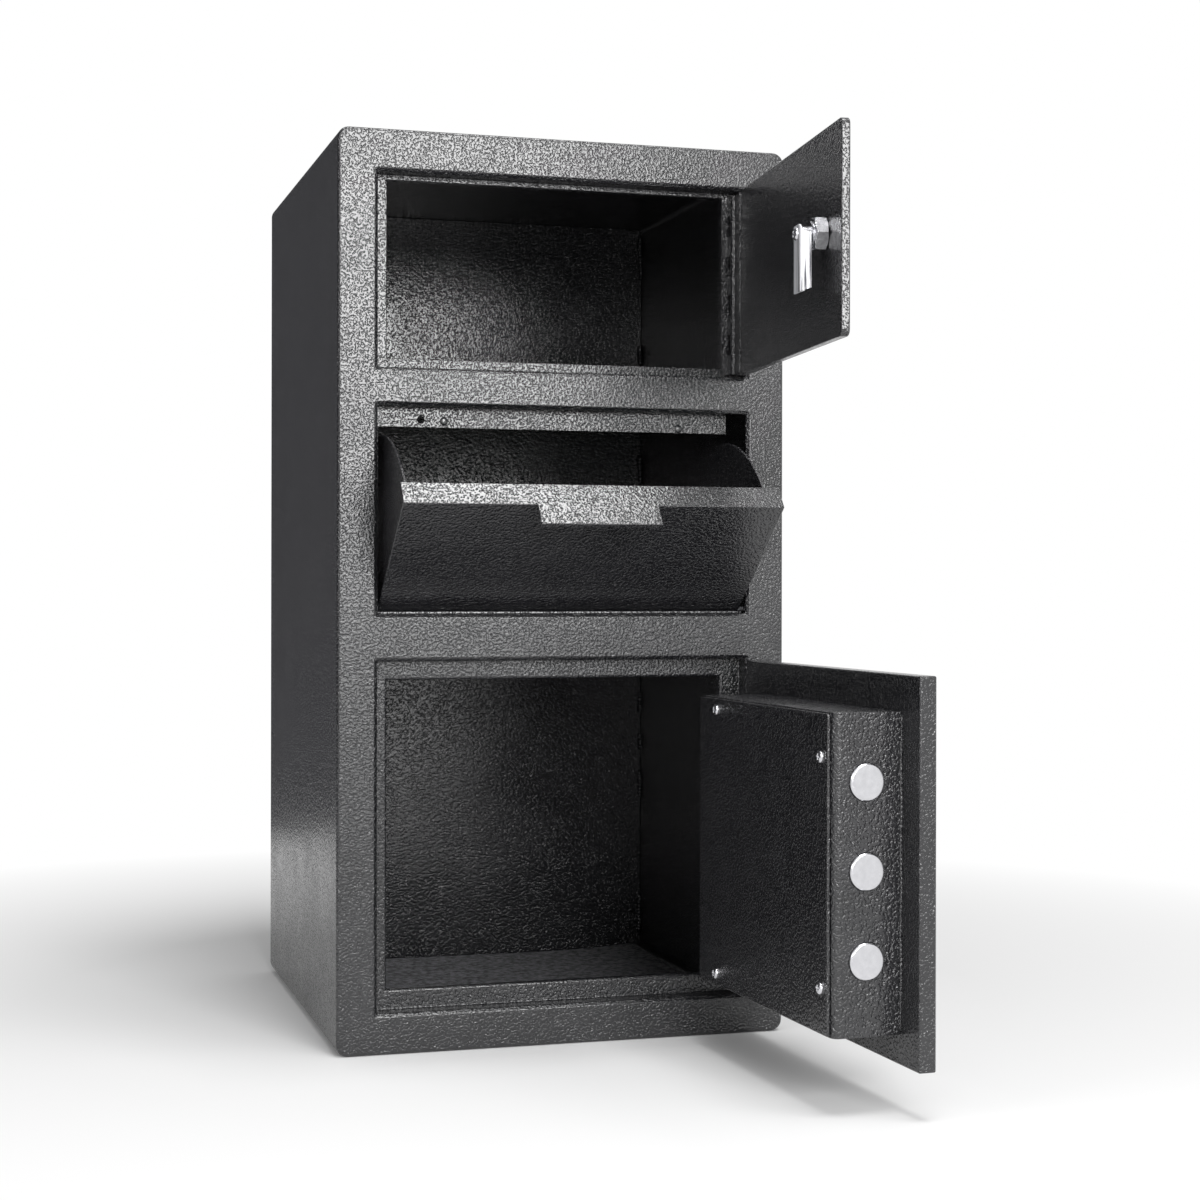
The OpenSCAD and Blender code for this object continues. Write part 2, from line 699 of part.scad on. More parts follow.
// Folded cam that turns behind the ledge
module lock_cam() {
    top = lock_z + 6;
    low = lock_z - cam_len;
    color("#e4e4e8") at_locker_door() difference() {
        block([lock_x - cam_w / 2, lock_x + cam_w / 2], [cam_y0, cam_y1], [low, top]);
        block([lock_x - cam_w / 2 + cam_t, lock_x + cam_w / 2 - cam_t],
            [cam_y0 - cut, cam_y1 - cam_t], [low - cut, top + cut]);
        round_y(lock_x, cam_y1 - cam_t - cut, lock_z, cam_screw_r + fit, cam_t + 2 * cut);
    }
}

// Cross recess in a screw head, centred on the outer face of the head
module cross_recess(x, y, z, w) {
    translate([x, y, z]) for (a = [0, 90]) rotate([0, a, 0]) cube([w, 2, 0.9], center = true);
}

// Screw that holds the cam on the plug
module lock_cam_screw() {
    head_r = 4.5;
    head_t = 2.6;
    shank = 8;
    color("#d8d8dc") at_locker_door() difference() {
        union() {
            round_y(lock_x, cam_y1, lock_z, head_r, head_t);
            round_y(lock_x, cam_y1 - shank, lock_z, cam_screw_r, shank + head_t / 2);
        }
        cross_recess(lock_x, cam_y1 + head_t, lock_z, 5);
    }
}

// Hopper front: the sheet, the lip along its top, and the pull tab with its turned-down edge
module hopper_front() {
    color("#2b2b30") at_hopper() {
        block([-hopper_x, hopper_x], [-bend_r1, -bend_r0], [0, hopper_front_h]);
        block([-hopper_x, hopper_x], [-bend_r0 - cut, hopper_lip_w - bend_r1],
            [lip_z0, hopper_front_h]);
        block([-tab_w / 2, tab_w / 2], [-bend_r1 - tab_out, -bend_r1 + cut],
            [lip_z0, hopper_front_h]);
        block([-tab_w / 2, tab_w / 2], [-bend_r1 - tab_out, -bend_r1 - tab_out + hopper_t],
            [lip_z0 - tab_drop + hopper_t, hopper_front_h]);
    }
}

// Outline of the corner below the pivot, between the hopper front and the tray,
// from one radius to another
module hopper_corner(r0, r1) {
    difference() {
        circle(r1);
        circle(r0);
        translate([-far, 0]) square(2 * far);
        rotate(90 - hopper_angle) translate([0, -far]) square(2 * far);
    }
}

// Hopper tray with the round bend about the pivot rod
module hopper_tray() {
    tray_len = hopper_side_r - 1;
    color("#202024") at_hopper() translate([side_x0 - hopper_t, 0, 0]) rotate([90, 0, 90])
        linear_extrude(side_x1 - side_x0 + 2 * hopper_t) {
            rotate(90 - hopper_angle) translate([0, -bend_r1]) square([tray_len, hopper_t]);
            hopper_corner(bend_r0, bend_r1);
        }
}

// One side plate of the hopper, a sector between the front and the tray
module hopper_side(x) {
    at_hopper() translate([x, 0, 0]) rotate([90, 0, 90]) linear_extrude(hopper_t) difference() {
        intersection() {
            circle(hopper_side_r, $fn = 128);
            translate([-bend_r0, -far]) square(2 * far);
            rotate(90 - hopper_angle) translate([-far, -bend_r0]) square(2 * far);
        }
        translate([-bend_r1, lip_z0]) square([hopper_lip_w, far]);
        hopper_corner(bend_r0, 2 * bend_r1);
        circle(rod_r + fit);
    }
}

module hopper_side_left() { color("#2b2b30") hopper_side(side_x0); }
module hopper_side_right() { color("#2b2b30") hopper_side(side_x1 - hopper_t); }

// Vault door plate with the spindle hole
module vault_door() {
    color("#26262b") at_vault_door() difference() {
        block([vdoor_x0, vdoor_x1], [front_y, vdoor_y1], [vdoor_z0, vdoor_z1]);
        round_y(spindle_x, front_y - cut, bolt_z, spindle_r + fit, vault_door_t + 2 * cut);
    }
}

// Hinge lugs on the edge of the vault door
module vault_hinge_lugs() {
    color("#202024") at_vault_door() for (z = lug_z) translate([0, 0, z]) difference() {
        linear_extrude(lug_h) {
            translate([vaxis_x, vaxis_y]) circle(lug_r);
            translate([vdoor_x1, vaxis_y - lug_r]) square([vaxis_x - vdoor_x1, 2 * lug_r]);
        }
        translate([vaxis_x, vaxis_y, -cut]) cylinder(h = lug_h + 2 * cut, r = vault_pin_r + fit);
    }
}

// Box over the bolt work: walls with round edges and a strip turned in on the bolt side
module bolt_box() {
    color("#26262b") at_vault_door() difference() {
        translate([0, 0, box_z0]) linear_extrude(box_z1 - box_z0) difference() {
            round_rect([box_x0, vdoor_y1 - box_r], [box_x1, box_y1], box_r);
            translate([box_x0 - cut, vdoor_y1 - 2 * box_r])
                square([box_x1 - box_x0 + 2 * cut, 2 * box_r]);
        }
        block([box_x0 + box_t, box_x1 - box_t], [vdoor_y1 - cut, box_y1 - box_t],
            [box_z0 + box_t, box_z1 - box_t]);
        block([box_x0 + box_flange, box_x1 - box_flange], [box_y1 - 2 * box_t, box_y1 + cut],
            [box_z0 + box_flange, box_z1 - box_flange]);
        for (i = [-1 : 1]) round_x(box_x0 - cut, bolt_y, bolt_z + i * bolt_pitch,
            bolt_r + bolt_fit, box_t + 2 * cut);
        for (p = screw_at) round_y(p[0], box_y1 - box_t - cut, p[1], screw_r + fit, box_t + 2 * cut);
    }
}

// Cover of the bolt box
module bolt_box_cover() {
    color("#1d1d21") at_vault_door() difference() {
        upright(box_y1, cover_t) round_rect([box_x0 + cover_gap, box_z0 + cover_inset],
            [box_x1 - cover_inset, box_z1 - cover_inset], 2);
        for (p = screw_at) round_y(p[0], box_y1 - cut, p[1], screw_r + fit, cover_t + 2 * cut);
    }
}

// Threaded posts between the door and the cover
module cover_posts() {
    thread_depth = 14;
    color("#8c8c90") at_vault_door() for (p = screw_at) difference() {
        round_y(p[0], vdoor_y1, p[1], post_r, box_depth - box_t);
        round_y(p[0], box_y1 - thread_depth, p[1], screw_r + fit, thread_depth + cut);
    }
}

// Pan head screws of the cover, with a cross recess
module cover_screws() {
    y = box_y1 + cover_t;
    head_r = 4.2;
    head_t = 2.4;
    shank = 12;
    color("#e4e4e8") at_vault_door() for (p = screw_at) difference() {
        union() {
            round_y(p[0], y, p[1], head_r, head_t);
            round_y(p[0], y - shank, p[1], screw_r, shank + head_t / 2);
        }
        cross_recess(p[0], y + head_t, p[1], 4.6);
    }
}

// Plate inside the box that guides the bolts
module bolt_guide() {
    end_gap = 5;
    color("#8c8c90") at_vault_door() difference() {
        block([guide_x, guide_x + guide_t], [vdoor_y1, box_y1 - box_t - loose],
            [box_z0 + box_t + end_gap, box_z1 - box_t - end_gap]);
        for (i = [-1 : 1]) round_x(guide_x - cut, bolt_y, bolt_z + i * bolt_pitch,
            bolt_r + bolt_fit, guide_t + 2 * cut);
    }
}

// Electric catch beside the bolt carrier
module lock_solenoid() {
    size = [38, 24, 28];
    x = spindle_x + 26;
    z = bolt_z - 60;
    color("#515158") at_vault_door()
        block([x, x + size[0]], [vdoor_y1, vdoor_y1 + size[1]], [z, z + size[2]]);
}

// A rectangle of this size with round corners, centred on the keypad
module keypad_outline(w, h, r) {
    translate([keypad_x, bolt_z]) round_rect([-w / 2, -h / 2], [w / 2, h / 2], r);
}

pads_recess = 1.5;   // depth of the recess that the rubber sheet lies in
pads_sheet = 1;      // thickness of the rubber sheet between its pads

// Housing of the keypad on the outside of the vault door
module keypad_housing() {
    color("#1a1a1c") at_vault_door() difference() {
        upright(front_y - keypad_d, keypad_d) keypad_outline(keypad_w, keypad_h, keypad_corner_r);
        upright(front_y - keypad_d - cut, pads_recess + cut)
            keypad_outline(keypad_w - 2 * keypad_rim, keypad_h - 2 * keypad_rim, keypad_corner_r / 2);
    }
}

// One rubber sheet with twelve raised pads
module keypad_pads() {
    sheet_w = keypad_w - 2 * (keypad_rim + loose);
    sheet_h = keypad_h - 2 * (keypad_rim + loose);
    border = 2;
    pad_gap = 4;
    pitch_x = (sheet_w - border) / 3;
    pitch_z = (sheet_h - border) / 4;
    pad_y = front_y - keypad_d - 0.6;
    color("#3a3a3e") at_vault_door() {
        upright(front_y - keypad_d + pads_recess - pads_sheet, pads_sheet)
            keypad_outline(sheet_w, sheet_h, keypad_corner_r / 2);
        for (i = [-1 : 1], j = [-1.5 : 1.5]) upright(pad_y, 1.4) translate([i * pitch_x, j * pitch_z])
            keypad_outline(pitch_x - pad_gap, pitch_z - pad_gap, 3);
    }
}

// One locking bolt at a height above or below the middle one
module vault_bolt(dz) {
    color("#dcdce0") at_vault_door() round_x(bolt_tip, bolt_y, bolt_z + dz, bolt_r, bolt_len);
}

module vault_bolt_top() vault_bolt(bolt_pitch);
module vault_bolt_middle() vault_bolt(0);
module vault_bolt_bottom() vault_bolt(-bolt_pitch);

// Bar behind the bolts with a slotted arm that the crank pin moves
module bolt_carrier() {
    slot_x = spindle_x + crank_r * sin(half_turn);
    slot_z = bolt_z - (pin_z + crank_r) / 2;
    slot_half = (crank_r - pin_z) / 2 + slot_play;
    slot_r = crank_pin_r + slot_play;
    rim = 5;
    color("#8c8c90") at_vault_door() {
        block([carrier_x, carrier_x + carrier_t], [bolt_y - bolt_r, bolt_y + bolt_r],
            [bolt_z - bolt_pitch - carrier_over, bolt_z + bolt_pitch + carrier_over]);
        difference() {
            block([carrier_x + carrier_t / 2, slot_x + slot_r + rim], [arm_y, arm_y + arm_t],
                [slot_z - slot_half - slot_r - rim, slot_z + slot_half + slot_r + rim]);
            for (z = [-slot_half, slot_half])
                round_y(slot_x, arm_y - cut, slot_z + z, slot_r, arm_t + 2 * cut);
            block([slot_x - slot_r, slot_x + slot_r], [arm_y - cut, arm_y + arm_t + cut],
                [slot_z - slot_half, slot_z + slot_half]);
        }
    }
}

// Knob on the outside of the vault door
module door_knob() {
    flutes = 12;
    flute_r = 2.2;
    flute_out = 1.2;
    color("#c4c4c8") at_vault_door() difference() {
        union() {
            round_y(spindle_x, front_y - knob_root - loose, bolt_z, knob_r - knob_root, knob_root);
            round_y(spindle_x, front_y - knob_len, bolt_z, knob_r, knob_len - knob_root);
        }
        for (i = [1 : flutes]) translate([spindle_x, 0, bolt_z]) rotate([0, i * 360 / flutes, 0])
            round_y(knob_r + flute_out, front_y - knob_len - cut, 0, flute_r,
                knob_len - knob_root);
        round_y(spindle_x, front_y - knob_len + knob_socket, bolt_z, spindle_r + fit, knob_len);
    }
}

// Spindle from the knob to the crank
module knob_spindle() {
    y = front_y - knob_len + knob_socket + loose;
    color("#9a9aa0") at_vault_door() round_y(spindle_x, y, bolt_z, spindle_r, crank_y - y);
}

// Crank on the spindle, with the pin that moves the bolt carrier
module drive_crank() {
    hub_h = 10;
    arm_half = 5;
    hub_y = crank_y + crank_t - hub_h;
    color("#8c8c90") at_vault_door() translate([spindle_x, 0, bolt_z]) rotate([0, -half_turn, 0])
        difference() {
            union() {
                round_y(0, hub_y, 0, spindle_r + 4, hub_h);
                block([-arm_half, arm_half], [crank_y, crank_y + crank_t], [-crank_r, 0]);
                round_y(0, crank_y, -crank_r, arm_half, crank_t);
                round_y(0, crank_y, -crank_r, crank_pin_r, crank_t + arm_gap + arm_t + 2);
            }
            round_y(0, hub_y - cut, 0, spindle_r + fit, crank_y - hub_y + cut);
        }
}

body_shell();
back_panel();
front_frame();
vault_stop_frame();
locker_stop_frame();
locker_shelf();
floor_mat();
hopper_header();
header_rivets();
hopper_sill();
hopper_brackets();
hopper_rod();
rod_clips();
locker_hinge_frame_leaf();
locker_hinge_screws();
locker_hinge_pin();
vault_hinge_ears();
vault_hinge_pins();
locker_door();
locker_hinge_door_leaf();
lock_barrel();
lock_nut();
lock_plug();
lock_cam();
lock_cam_screw();
hopper_front();
hopper_tray();
hopper_side_left();
hopper_side_right();
vault_door();
vault_hinge_lugs();
bolt_box();
bolt_box_cover();
cover_posts();
cover_screws();
bolt_guide();
lock_solenoid();
keypad_housing();
keypad_pads();
vault_bolt_top();
vault_bolt_middle();
vault_bolt_bottom();
bolt_carrier();
door_knob();
knob_spindle();
drive_crank();
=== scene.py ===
"""Drop safe with a tilting deposit hopper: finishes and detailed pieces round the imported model.

Blender works in metres in the model's own frame: X to the right, Y to the back, Z up.
"""
import json
from math import radians

import bmesh
import bpy
import numpy as np
from mathutils import Matrix, Vector


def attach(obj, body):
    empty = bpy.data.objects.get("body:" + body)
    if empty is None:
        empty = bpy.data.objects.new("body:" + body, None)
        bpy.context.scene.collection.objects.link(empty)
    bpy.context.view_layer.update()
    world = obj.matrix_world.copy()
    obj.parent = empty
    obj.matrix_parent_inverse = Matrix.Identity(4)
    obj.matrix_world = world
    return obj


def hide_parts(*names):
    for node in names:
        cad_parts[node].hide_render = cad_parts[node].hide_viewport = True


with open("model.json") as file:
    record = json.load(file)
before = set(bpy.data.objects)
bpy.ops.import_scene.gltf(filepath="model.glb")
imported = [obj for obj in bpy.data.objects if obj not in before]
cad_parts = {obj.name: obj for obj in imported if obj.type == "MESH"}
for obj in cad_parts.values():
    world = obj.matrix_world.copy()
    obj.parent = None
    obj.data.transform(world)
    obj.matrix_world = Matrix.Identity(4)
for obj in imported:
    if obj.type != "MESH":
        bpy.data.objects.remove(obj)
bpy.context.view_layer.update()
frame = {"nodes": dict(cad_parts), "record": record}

NODES = frame["nodes"]
RECORD = frame["record"]
JOINTS = {joint["name"]: joint for joint in RECORD["behaviour"]["joints"]}
BODY_OF = {node: body for body, nodes in RECORD["behaviour"]["bodies"].items() for node in nodes}
SLOT_OF = {part["node"]: part["material_slot"] for part in RECORD["subparts"]}
MM = 0.001

# Places: a door's pieces are worked out with the door shut, then turned to where it is drawn


def drawn(joint):
    """The turn about a joint's axis from its lowest value, where the door is shut, to zero."""
    pos = Vector(JOINTS[joint]["pos_m"])
    shut = radians(JOINTS[joint]["range_deg"][0])
    turn = Matrix.Rotation(-shut, 4, Vector(JOINTS[joint]["axis"]))
    return Matrix.Translation(pos) @ turn @ Matrix.Translation(-pos)


STILL = Matrix.Identity(4)
LOCKER = drawn("locker_door_hinge")
VAULT = drawn("vault_door_hinge")


def moved(points, place):
    """Points of an array carried by a 4 by 4 matrix."""
    turn = np.array(place)
    return points @ turn[:3, :3].T + turn[:3, 3]


def mesh_points(mesh):
    """All vertices of a mesh, as an array of rows."""
    flat = np.empty(len(mesh.vertices) * 3)
    mesh.vertices.foreach_get("co", flat)
    return flat.reshape(-1, 3)


def shut_box(node, place=STILL):
    """Lowest and highest corners of a CAD node in millimetres, with its door shut."""
    points = moved(mesh_points(NODES[node].data), place.inverted())
    return points.min(axis=0) / MM, points.max(axis=0) / MM


# Materials

NOISE_LOW, NOISE_HIGH = 0.3, 0.7            # nearly all values of a noise lie between these
COLOUR_A, COLOUR_B, COLOUR_OUT = 6, 7, 2    # a Mix node's sockets for two colours and for their mix


def linear(hex_colour):
    """An sRGB hex colour as linear RGBA."""
    srgb = np.array([int(hex_colour[i:i + 2], 16) / 255 for i in (1, 3, 5)])
    rgb = np.where(srgb <= 0.04045, srgb / 12.92, ((srgb + 0.055) / 1.055) ** 2.4)
    return (*rgb.tolist(), 1.0)


def per_metre(size):
    """How many lumps or lines of a size in millimetres go into a metre: the scale of a noise."""
    return 1 / (size * MM)


def add(tree, kind, inputs=None, **settings):
    """Adds one shader node.

    inputs maps a socket's name or number to a value or to another node's output.
    """
    node = tree.nodes.new(kind)
    for key, value in settings.items():
        setattr(node, key, value)
    for key, value in (inputs or {}).items():
        if isinstance(value, bpy.types.NodeSocket):
            tree.links.new(value, node.inputs[key])
        else:
            node.inputs[key].default_value = value
    return node


def start_material(name, **sockets):
    """A new material with its shader's plain sockets set directly, its tree, and Object coordinates."""
    material = bpy.data.materials.new(name)
    material.use_nodes = True
    tree = material.node_tree
    for key, value in sockets.items():
        tree.nodes["Principled BSDF"].inputs[key.replace("_", " ")].default_value = value
    return material, tree, add(tree, "ShaderNodeTexCoord").outputs["Object"]


def set_looks(material, pattern, colours, roughness=None, tint=None, height=None, relief=0.0, strength=1.0):
    """Lets a material's shader follow a pattern of values from 0 to 1.

    The colour runs between two hex colours with the pattern, or with tint where that is given. The roughness
    runs between two values with the pattern. Where height is 1 the surface stands relief millimetres higher
    than where it is 0, less so where strength is under 1.
    """
    tree = material.node_tree
    shader = tree.nodes["Principled BSDF"]
    mix = add(tree, "ShaderNodeMix", {"Factor": tint or pattern, COLOUR_A: linear(colours[0]),
                                      COLOUR_B: linear(colours[1])}, data_type="RGBA")
    tree.links.new(mix.outputs[COLOUR_OUT], shader.inputs["Base Color"])
    if roughness:
        low, high = roughness
        spread = add(tree, "ShaderNodeMapRange", {"Value": pattern, "From Min": NOISE_LOW,
                                                  "From Max": NOISE_HIGH, "To Min": low, "To Max": high},
                     clamp=True)
        tree.links.new(spread.outputs["Result"], shader.inputs["Roughness"])
    if height:
        bump = add(tree, "ShaderNodeBump", {"Height": height, "Strength": strength, "Distance": relief * MM})
        tree.links.new(bump.outputs[0], shader.inputs["Normal"])


def wrinkle_powder_coat(name, relief):
    """Black wrinkle powder coat, sprayed and baked on steel sheet, with its relief in millimetres.

    The eye sees a near-black skin of flat-topped ridges about 2 mm across with dark pits between them: where
    a lamp meets the ridges they glare and the pits stay dark, so it sparkles in front and is black aside.
    Over small rivet and screw heads it draws thin and lies almost smooth, so that each head has one glint.
    """
    material, tree, place = start_material(name, IOR=1.75)
    ridges = add(tree, "ShaderNodeTexNoise", {"Vector": place, "Scale": per_metre(2.0), "Detail": 1.0,
                                              "Roughness": 0.4, "Distortion": 0.3}).outputs["Fac"]
    pit, top = 0.36, 0.53
    flat_tops = add(tree, "ShaderNodeMapRange", {"Value": ridges, "From Min": pit, "From Max": top},
                    interpolation_type="SMOOTHSTEP").outputs["Result"]
    height = add(tree, "ShaderNodeMath", {0: ridges, 1: 0.5, 2: flat_tops},
                 operation="MULTIPLY_ADD").outputs[0]
    cloud = add(tree, "ShaderNodeTexNoise", {"Vector": place, "Scale": per_metre(40),
                                             "Detail": 3.0}).outputs["Fac"]
    set_looks(material, cloud, ("#151517", "#202023"), (0.17, 0.25), height=height, relief=relief)
    return material


def chrome_plate():
    """Satin chrome on turned or pressed steel: pale, finely grained; its edges flash and its faces glow."""
    material, tree, place = start_material("satin_chrome_plate", Metallic=1.0)
    # the buffing marks are 0.1 mm wide; drawn 4 mm so that they show
    grain = add(tree, "ShaderNodeTexNoise", {"Vector": place, "Scale": per_metre(4)}).outputs["Fac"]
    set_looks(material, grain, ("#CECED2", "#DEDEE1"), (0.14, 0.24), height=grain, relief=0.03, strength=0.2)
    return material


def bright_zinc_strip():
    """Bright zinc on a rolled steel strip: pale, with fine rolling lines along it, so it glows unevenly."""
    material, tree, place = start_material("bright_zinc_strip", Metallic=1.0)
    # the rolling lines are 0.05 mm apart; drawn 2 mm apart and 100 mm long so that they show
    lines = add(tree, "ShaderNodeMapping", {"Vector": place, "Scale": (1, 1, 0.02)}).outputs[0]
    rolled = add(tree, "ShaderNodeTexNoise", {"Vector": lines, "Scale": per_metre(2.0),
                                              "Roughness": 0.6}).outputs["Fac"]
    streaks = add(tree, "ShaderNodeMapRange", {"Value": rolled, "From Min": 0.38, "From Max": 0.46},
                  clamp=True).outputs["Result"]
    set_looks(material, rolled, ("#505055", "#EFEFF2"), (0.62, 0.72), streaks, rolled, 0.06, strength=0.6)
    return material


def zinc_plate():
    """Zinc-plated steel: soft grey metal with cloudy spangle."""
    material, tree, place = start_material("zinc_plated_steel", Metallic=1.0)
    cloud = add(tree, "ShaderNodeTexNoise", {"Vector": place, "Scale": per_metre(3),
                                             "Detail": 3.0}).outputs["Fac"]
    set_looks(material, cloud, ("#8E8E92", "#B9B9BE"), (0.28, 0.45), height=cloud, relief=0.03, strength=0.3)
    return material


def needle_felt():
    """Grey needle felt: tangled polyester fibres, dull, with lighter and darker flecks."""
    material, tree, place = start_material("grey_needle_felt", IOR=1.45, Roughness=0.95,
                                           Sheen_Weight=0.06, Sheen_Roughness=0.5)
    # the fibres are 0.03 mm thick; drawn 0.9 mm so that they show
    fibres = add(tree, "ShaderNodeTexNoise", {"Vector": place, "Scale": per_metre(0.9), "Detail": 3.0,
                                              "Roughness": 0.65, "Distortion": 2.0}).outputs["Fac"]
    tufts = add(tree, "ShaderNodeTexNoise", {"Vector": place, "Scale": per_metre(5),
                                             "Detail": 3.0}).outputs["Fac"]
    both = add(tree, "ShaderNodeMath", {0: fibres, 1: tufts}, operation="MULTIPLY").outputs[0]
    flecks = add(tree, "ShaderNodeMapRange", {"Value": both, "From Min": 0.16, "From Max": 0.36},
                 clamp=True).outputs["Result"]
    set_looks(material, flecks, ("#2B2B2E", "#939398"), height=fibres, relief=0.3, strength=0.8)
    return material


def moulded_plastic():
    """Black ABS from a spark-eroded mould: a fine even matt grain."""
    material, tree, place = start_material("moulded_black_abs", IOR=1.53)
    # the pits are 0.05 mm wide; drawn 0.5 mm so that they show
    grain = add(tree, "ShaderNodeTexNoise", {"Vector": place, "Scale": per_metre(0.5)}).outputs["Fac"]
    set_looks(material, grain, ("#101012", "#1B1B1D"), (0.42, 0.55), height=grain, relief=0.05, strength=0.4)
    return material


def silicone_rubber():
    """Dark grey silicone rubber: soft, matt, a little dusty."""
    material, tree, place = start_material("dark_silicone_rubber", IOR=1.41, Sheen_Weight=0.15)
    dust = add(tree, "ShaderNodeTexNoise", {"Vector": place, "Scale": per_metre(2),
                                            "Detail": 4.0}).outputs["Fac"]
    set_looks(material, dust, ("#2B2B2F", "#3B3B40"), (0.6, 0.75), height=dust, relief=0.05, strength=0.2)
    return material


def pad_print():
    """White silicone ink, printed on the pads: flat, a little worn through in places."""
    material, tree, place = start_material("white_silicone_ink", IOR=1.41)
    wear = add(tree, "ShaderNodeTexNoise", {"Vector": place, "Scale": per_metre(1.5),
                                            "Detail": 4.0}).outputs["Fac"]
    worn = add(tree, "ShaderNodeMapRange", {"Value": wear, "From Min": 0.3, "From Max": 0.5},
               clamp=True).outputs["Result"]
    set_looks(material, wear, ("#A9A9AC", "#E4E4E6"), (0.5, 0.65), tint=worn)
    return material


MATERIAL_OF_SLOT = {
    "powder_coat": wrinkle_powder_coat("wrinkle_powder_coat", 0.40),
    "mat_felt": needle_felt(),
    "plain_steel": zinc_plate(),
    "bright_chrome": chrome_plate(),
    "black_plastic": moulded_plastic(),
    "pad_rubber": silicone_rubber(),
}
THIN_COAT = wrinkle_powder_coat("thin_powder_coat", 0.06)

for name, piece in NODES.items():
    piece.data.materials.clear()
    piece.data.materials.append(MATERIAL_OF_SLOT[SLOT_OF[name]])

# Surfaces. Shapes are worked out in millimetres, where they stand with the doors shut

SAME_POINT = 0.001     # points of a new piece that are nearer than this are one
SAME_CORNER = 0.002    # the same for the corners of a CAD node's loose triangles
FLAT = 0.5             # CAD faces that turn by less than this many degrees become one face
SHARP = 35             # CAD edges that turn by more than this many degrees are rounded
QUARTER = np.pi / 2


def circle(steps):
    """Evenly spaced angles once round."""
    return np.arange(steps) * 2 * np.pi / steps


def grid(points, wrap_u=False, wrap_v=False):
    """Quads between the neighbours of a grid of points; a wrapped direction joins its end to its start."""
    rows, columns = points.shape[:2]
    index = np.arange(rows * columns).reshape(rows, columns)
    if wrap_u:
        index = np.vstack([index, index[:1]])
    if wrap_v:
        index = np.hstack([index, index[:, :1]])
    quads = np.stack([index[:-1, :-1], index[:-1, 1:], index[1:, 1:], index[1:, :-1]], axis=-1)
    return points.reshape(-1, 3), quads.reshape(-1, 4)


def turned(profile, centre, axis="y", steps=48, wrap=False, shape=None):
    """A profile of (distance, radius) rows turned about a line through centre along X or Y.

    The point for distance d, radius r and angle a lies d along the axis and r from it, at that angle.
    shape(d, r, a) may alter the radius. A wrapped profile makes a ring with a hole.
    """
    profile = np.asarray(profile, dtype=float)
    along, radius, angle = np.broadcast_arrays(profile[:, :1], profile[:, 1:], circle(steps)[None, :])
    if shape:
        radius = shape(along, radius, angle)
    across, up = radius * np.cos(angle), radius * np.sin(angle)
    order = {"x": (along, across, up), "y": (across, along, up)}[axis]
    points = np.stack(order, axis=-1) + np.asarray(centre, dtype=float)
    return grid(points, wrap_u=wrap, wrap_v=True)


def mesh_of(name, parts, place=STILL):
    """A mesh of several (points, faces) parts, worked out in millimetres and put in place."""
    offsets = np.cumsum([0] + [len(points) for points, _ in parts[:-1]])
    points = moved(np.vstack([points for points, _ in parts]) * MM, place)
    faces = [(np.asarray(face) + offset).tolist()
             for (_, part), offset in zip(parts, offsets) for face in part]
    mesh = bpy.data.meshes.new(name)
    mesh.from_pydata(points.tolist(), [], faces)
    return mesh


def new_object(name, data):
    """A new object, linked to the scene."""
    thing = bpy.data.objects.new(name, data)
    bpy.context.scene.collection.objects.link(thing)
    return thing


def finish_piece(mesh, name, body, slot, replaces=(), smooth_to=40):
    """A mesh as a piece on a body, with its slot's material.

    Its faces are smooth over edges that turn by up to smooth_to degrees, or over all edges if that is 0.
    """
    piece = new_object(name, mesh)
    mesh.materials.clear()
    mesh.materials.append(MATERIAL_OF_SLOT[slot])
    mesh.polygons.foreach_set("use_smooth", [True] * len(mesh.polygons))
    if smooth_to:
        mesh.set_sharp_from_angle(angle=radians(smooth_to))
    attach(piece, body)
    if replaces:
        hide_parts(*replaces)
    return piece


def piece_of(name, parts, body, slot, replaces=(), place=STILL, smooth_to=40):
    """One piece from (points, faces) parts, its doubles merged and its faces turned outward."""
    mesh = mesh_of(name, parts, place)
    work = bmesh.new()
    work.from_mesh(mesh)
    bmesh.ops.remove_doubles(work, verts=work.verts, dist=SAME_POINT * MM)
    bmesh.ops.recalc_face_normals(work, faces=work.faces)
    work.to_mesh(mesh)
    work.free()
    return finish_piece(mesh, name, body, slot, replaces, smooth_to)


def softened(node, width, share=None, merge_flat=True):
    """A copy of a CAD node with its sharp edges rounded off, as folding and paint leave them.

    The width is in millimetres. share(middle) gives the share of it that an edge gets, by the edge's middle.
    With merge_flat, neighbouring faces that lie flat to each other become one face first.
    """
    mesh = NODES[node].data.copy()
    work = bmesh.new()
    work.from_mesh(mesh)
    bmesh.ops.remove_doubles(work, verts=work.verts, dist=SAME_CORNER * MM)
    if merge_flat:
        bmesh.ops.dissolve_limit(work, angle_limit=radians(FLAT), verts=work.verts, edges=work.edges)
    weight = work.edges.layers.float.new("bevel_weight_edge")
    for edge in work.edges:
        if len(edge.link_faces) == 2 and edge.calc_face_angle() > radians(SHARP):
            middle = (edge.verts[0].co + edge.verts[1].co) / 2 / MM
            edge[weight] = share(middle) if share else 1.0
            edge.smooth = edge[weight] > 0
    work.to_mesh(mesh)
    work.free()
    piece = finish_piece(mesh, node + "_soft", BODY_OF[node], SLOT_OF[node], [node], smooth_to=0)
    bevel = piece.modifiers.new("rounding", "BEVEL")
    bevel.width = width * MM
    bevel.segments = 3
    bevel.limit_method = "WEIGHT"
    bevel.use_clamp_overlap = False
    flat = piece.modifiers.new("flat faces", "WEIGHTED_NORMAL")
    flat.weight = 100
    flat.keep_sharp = True
    return piece


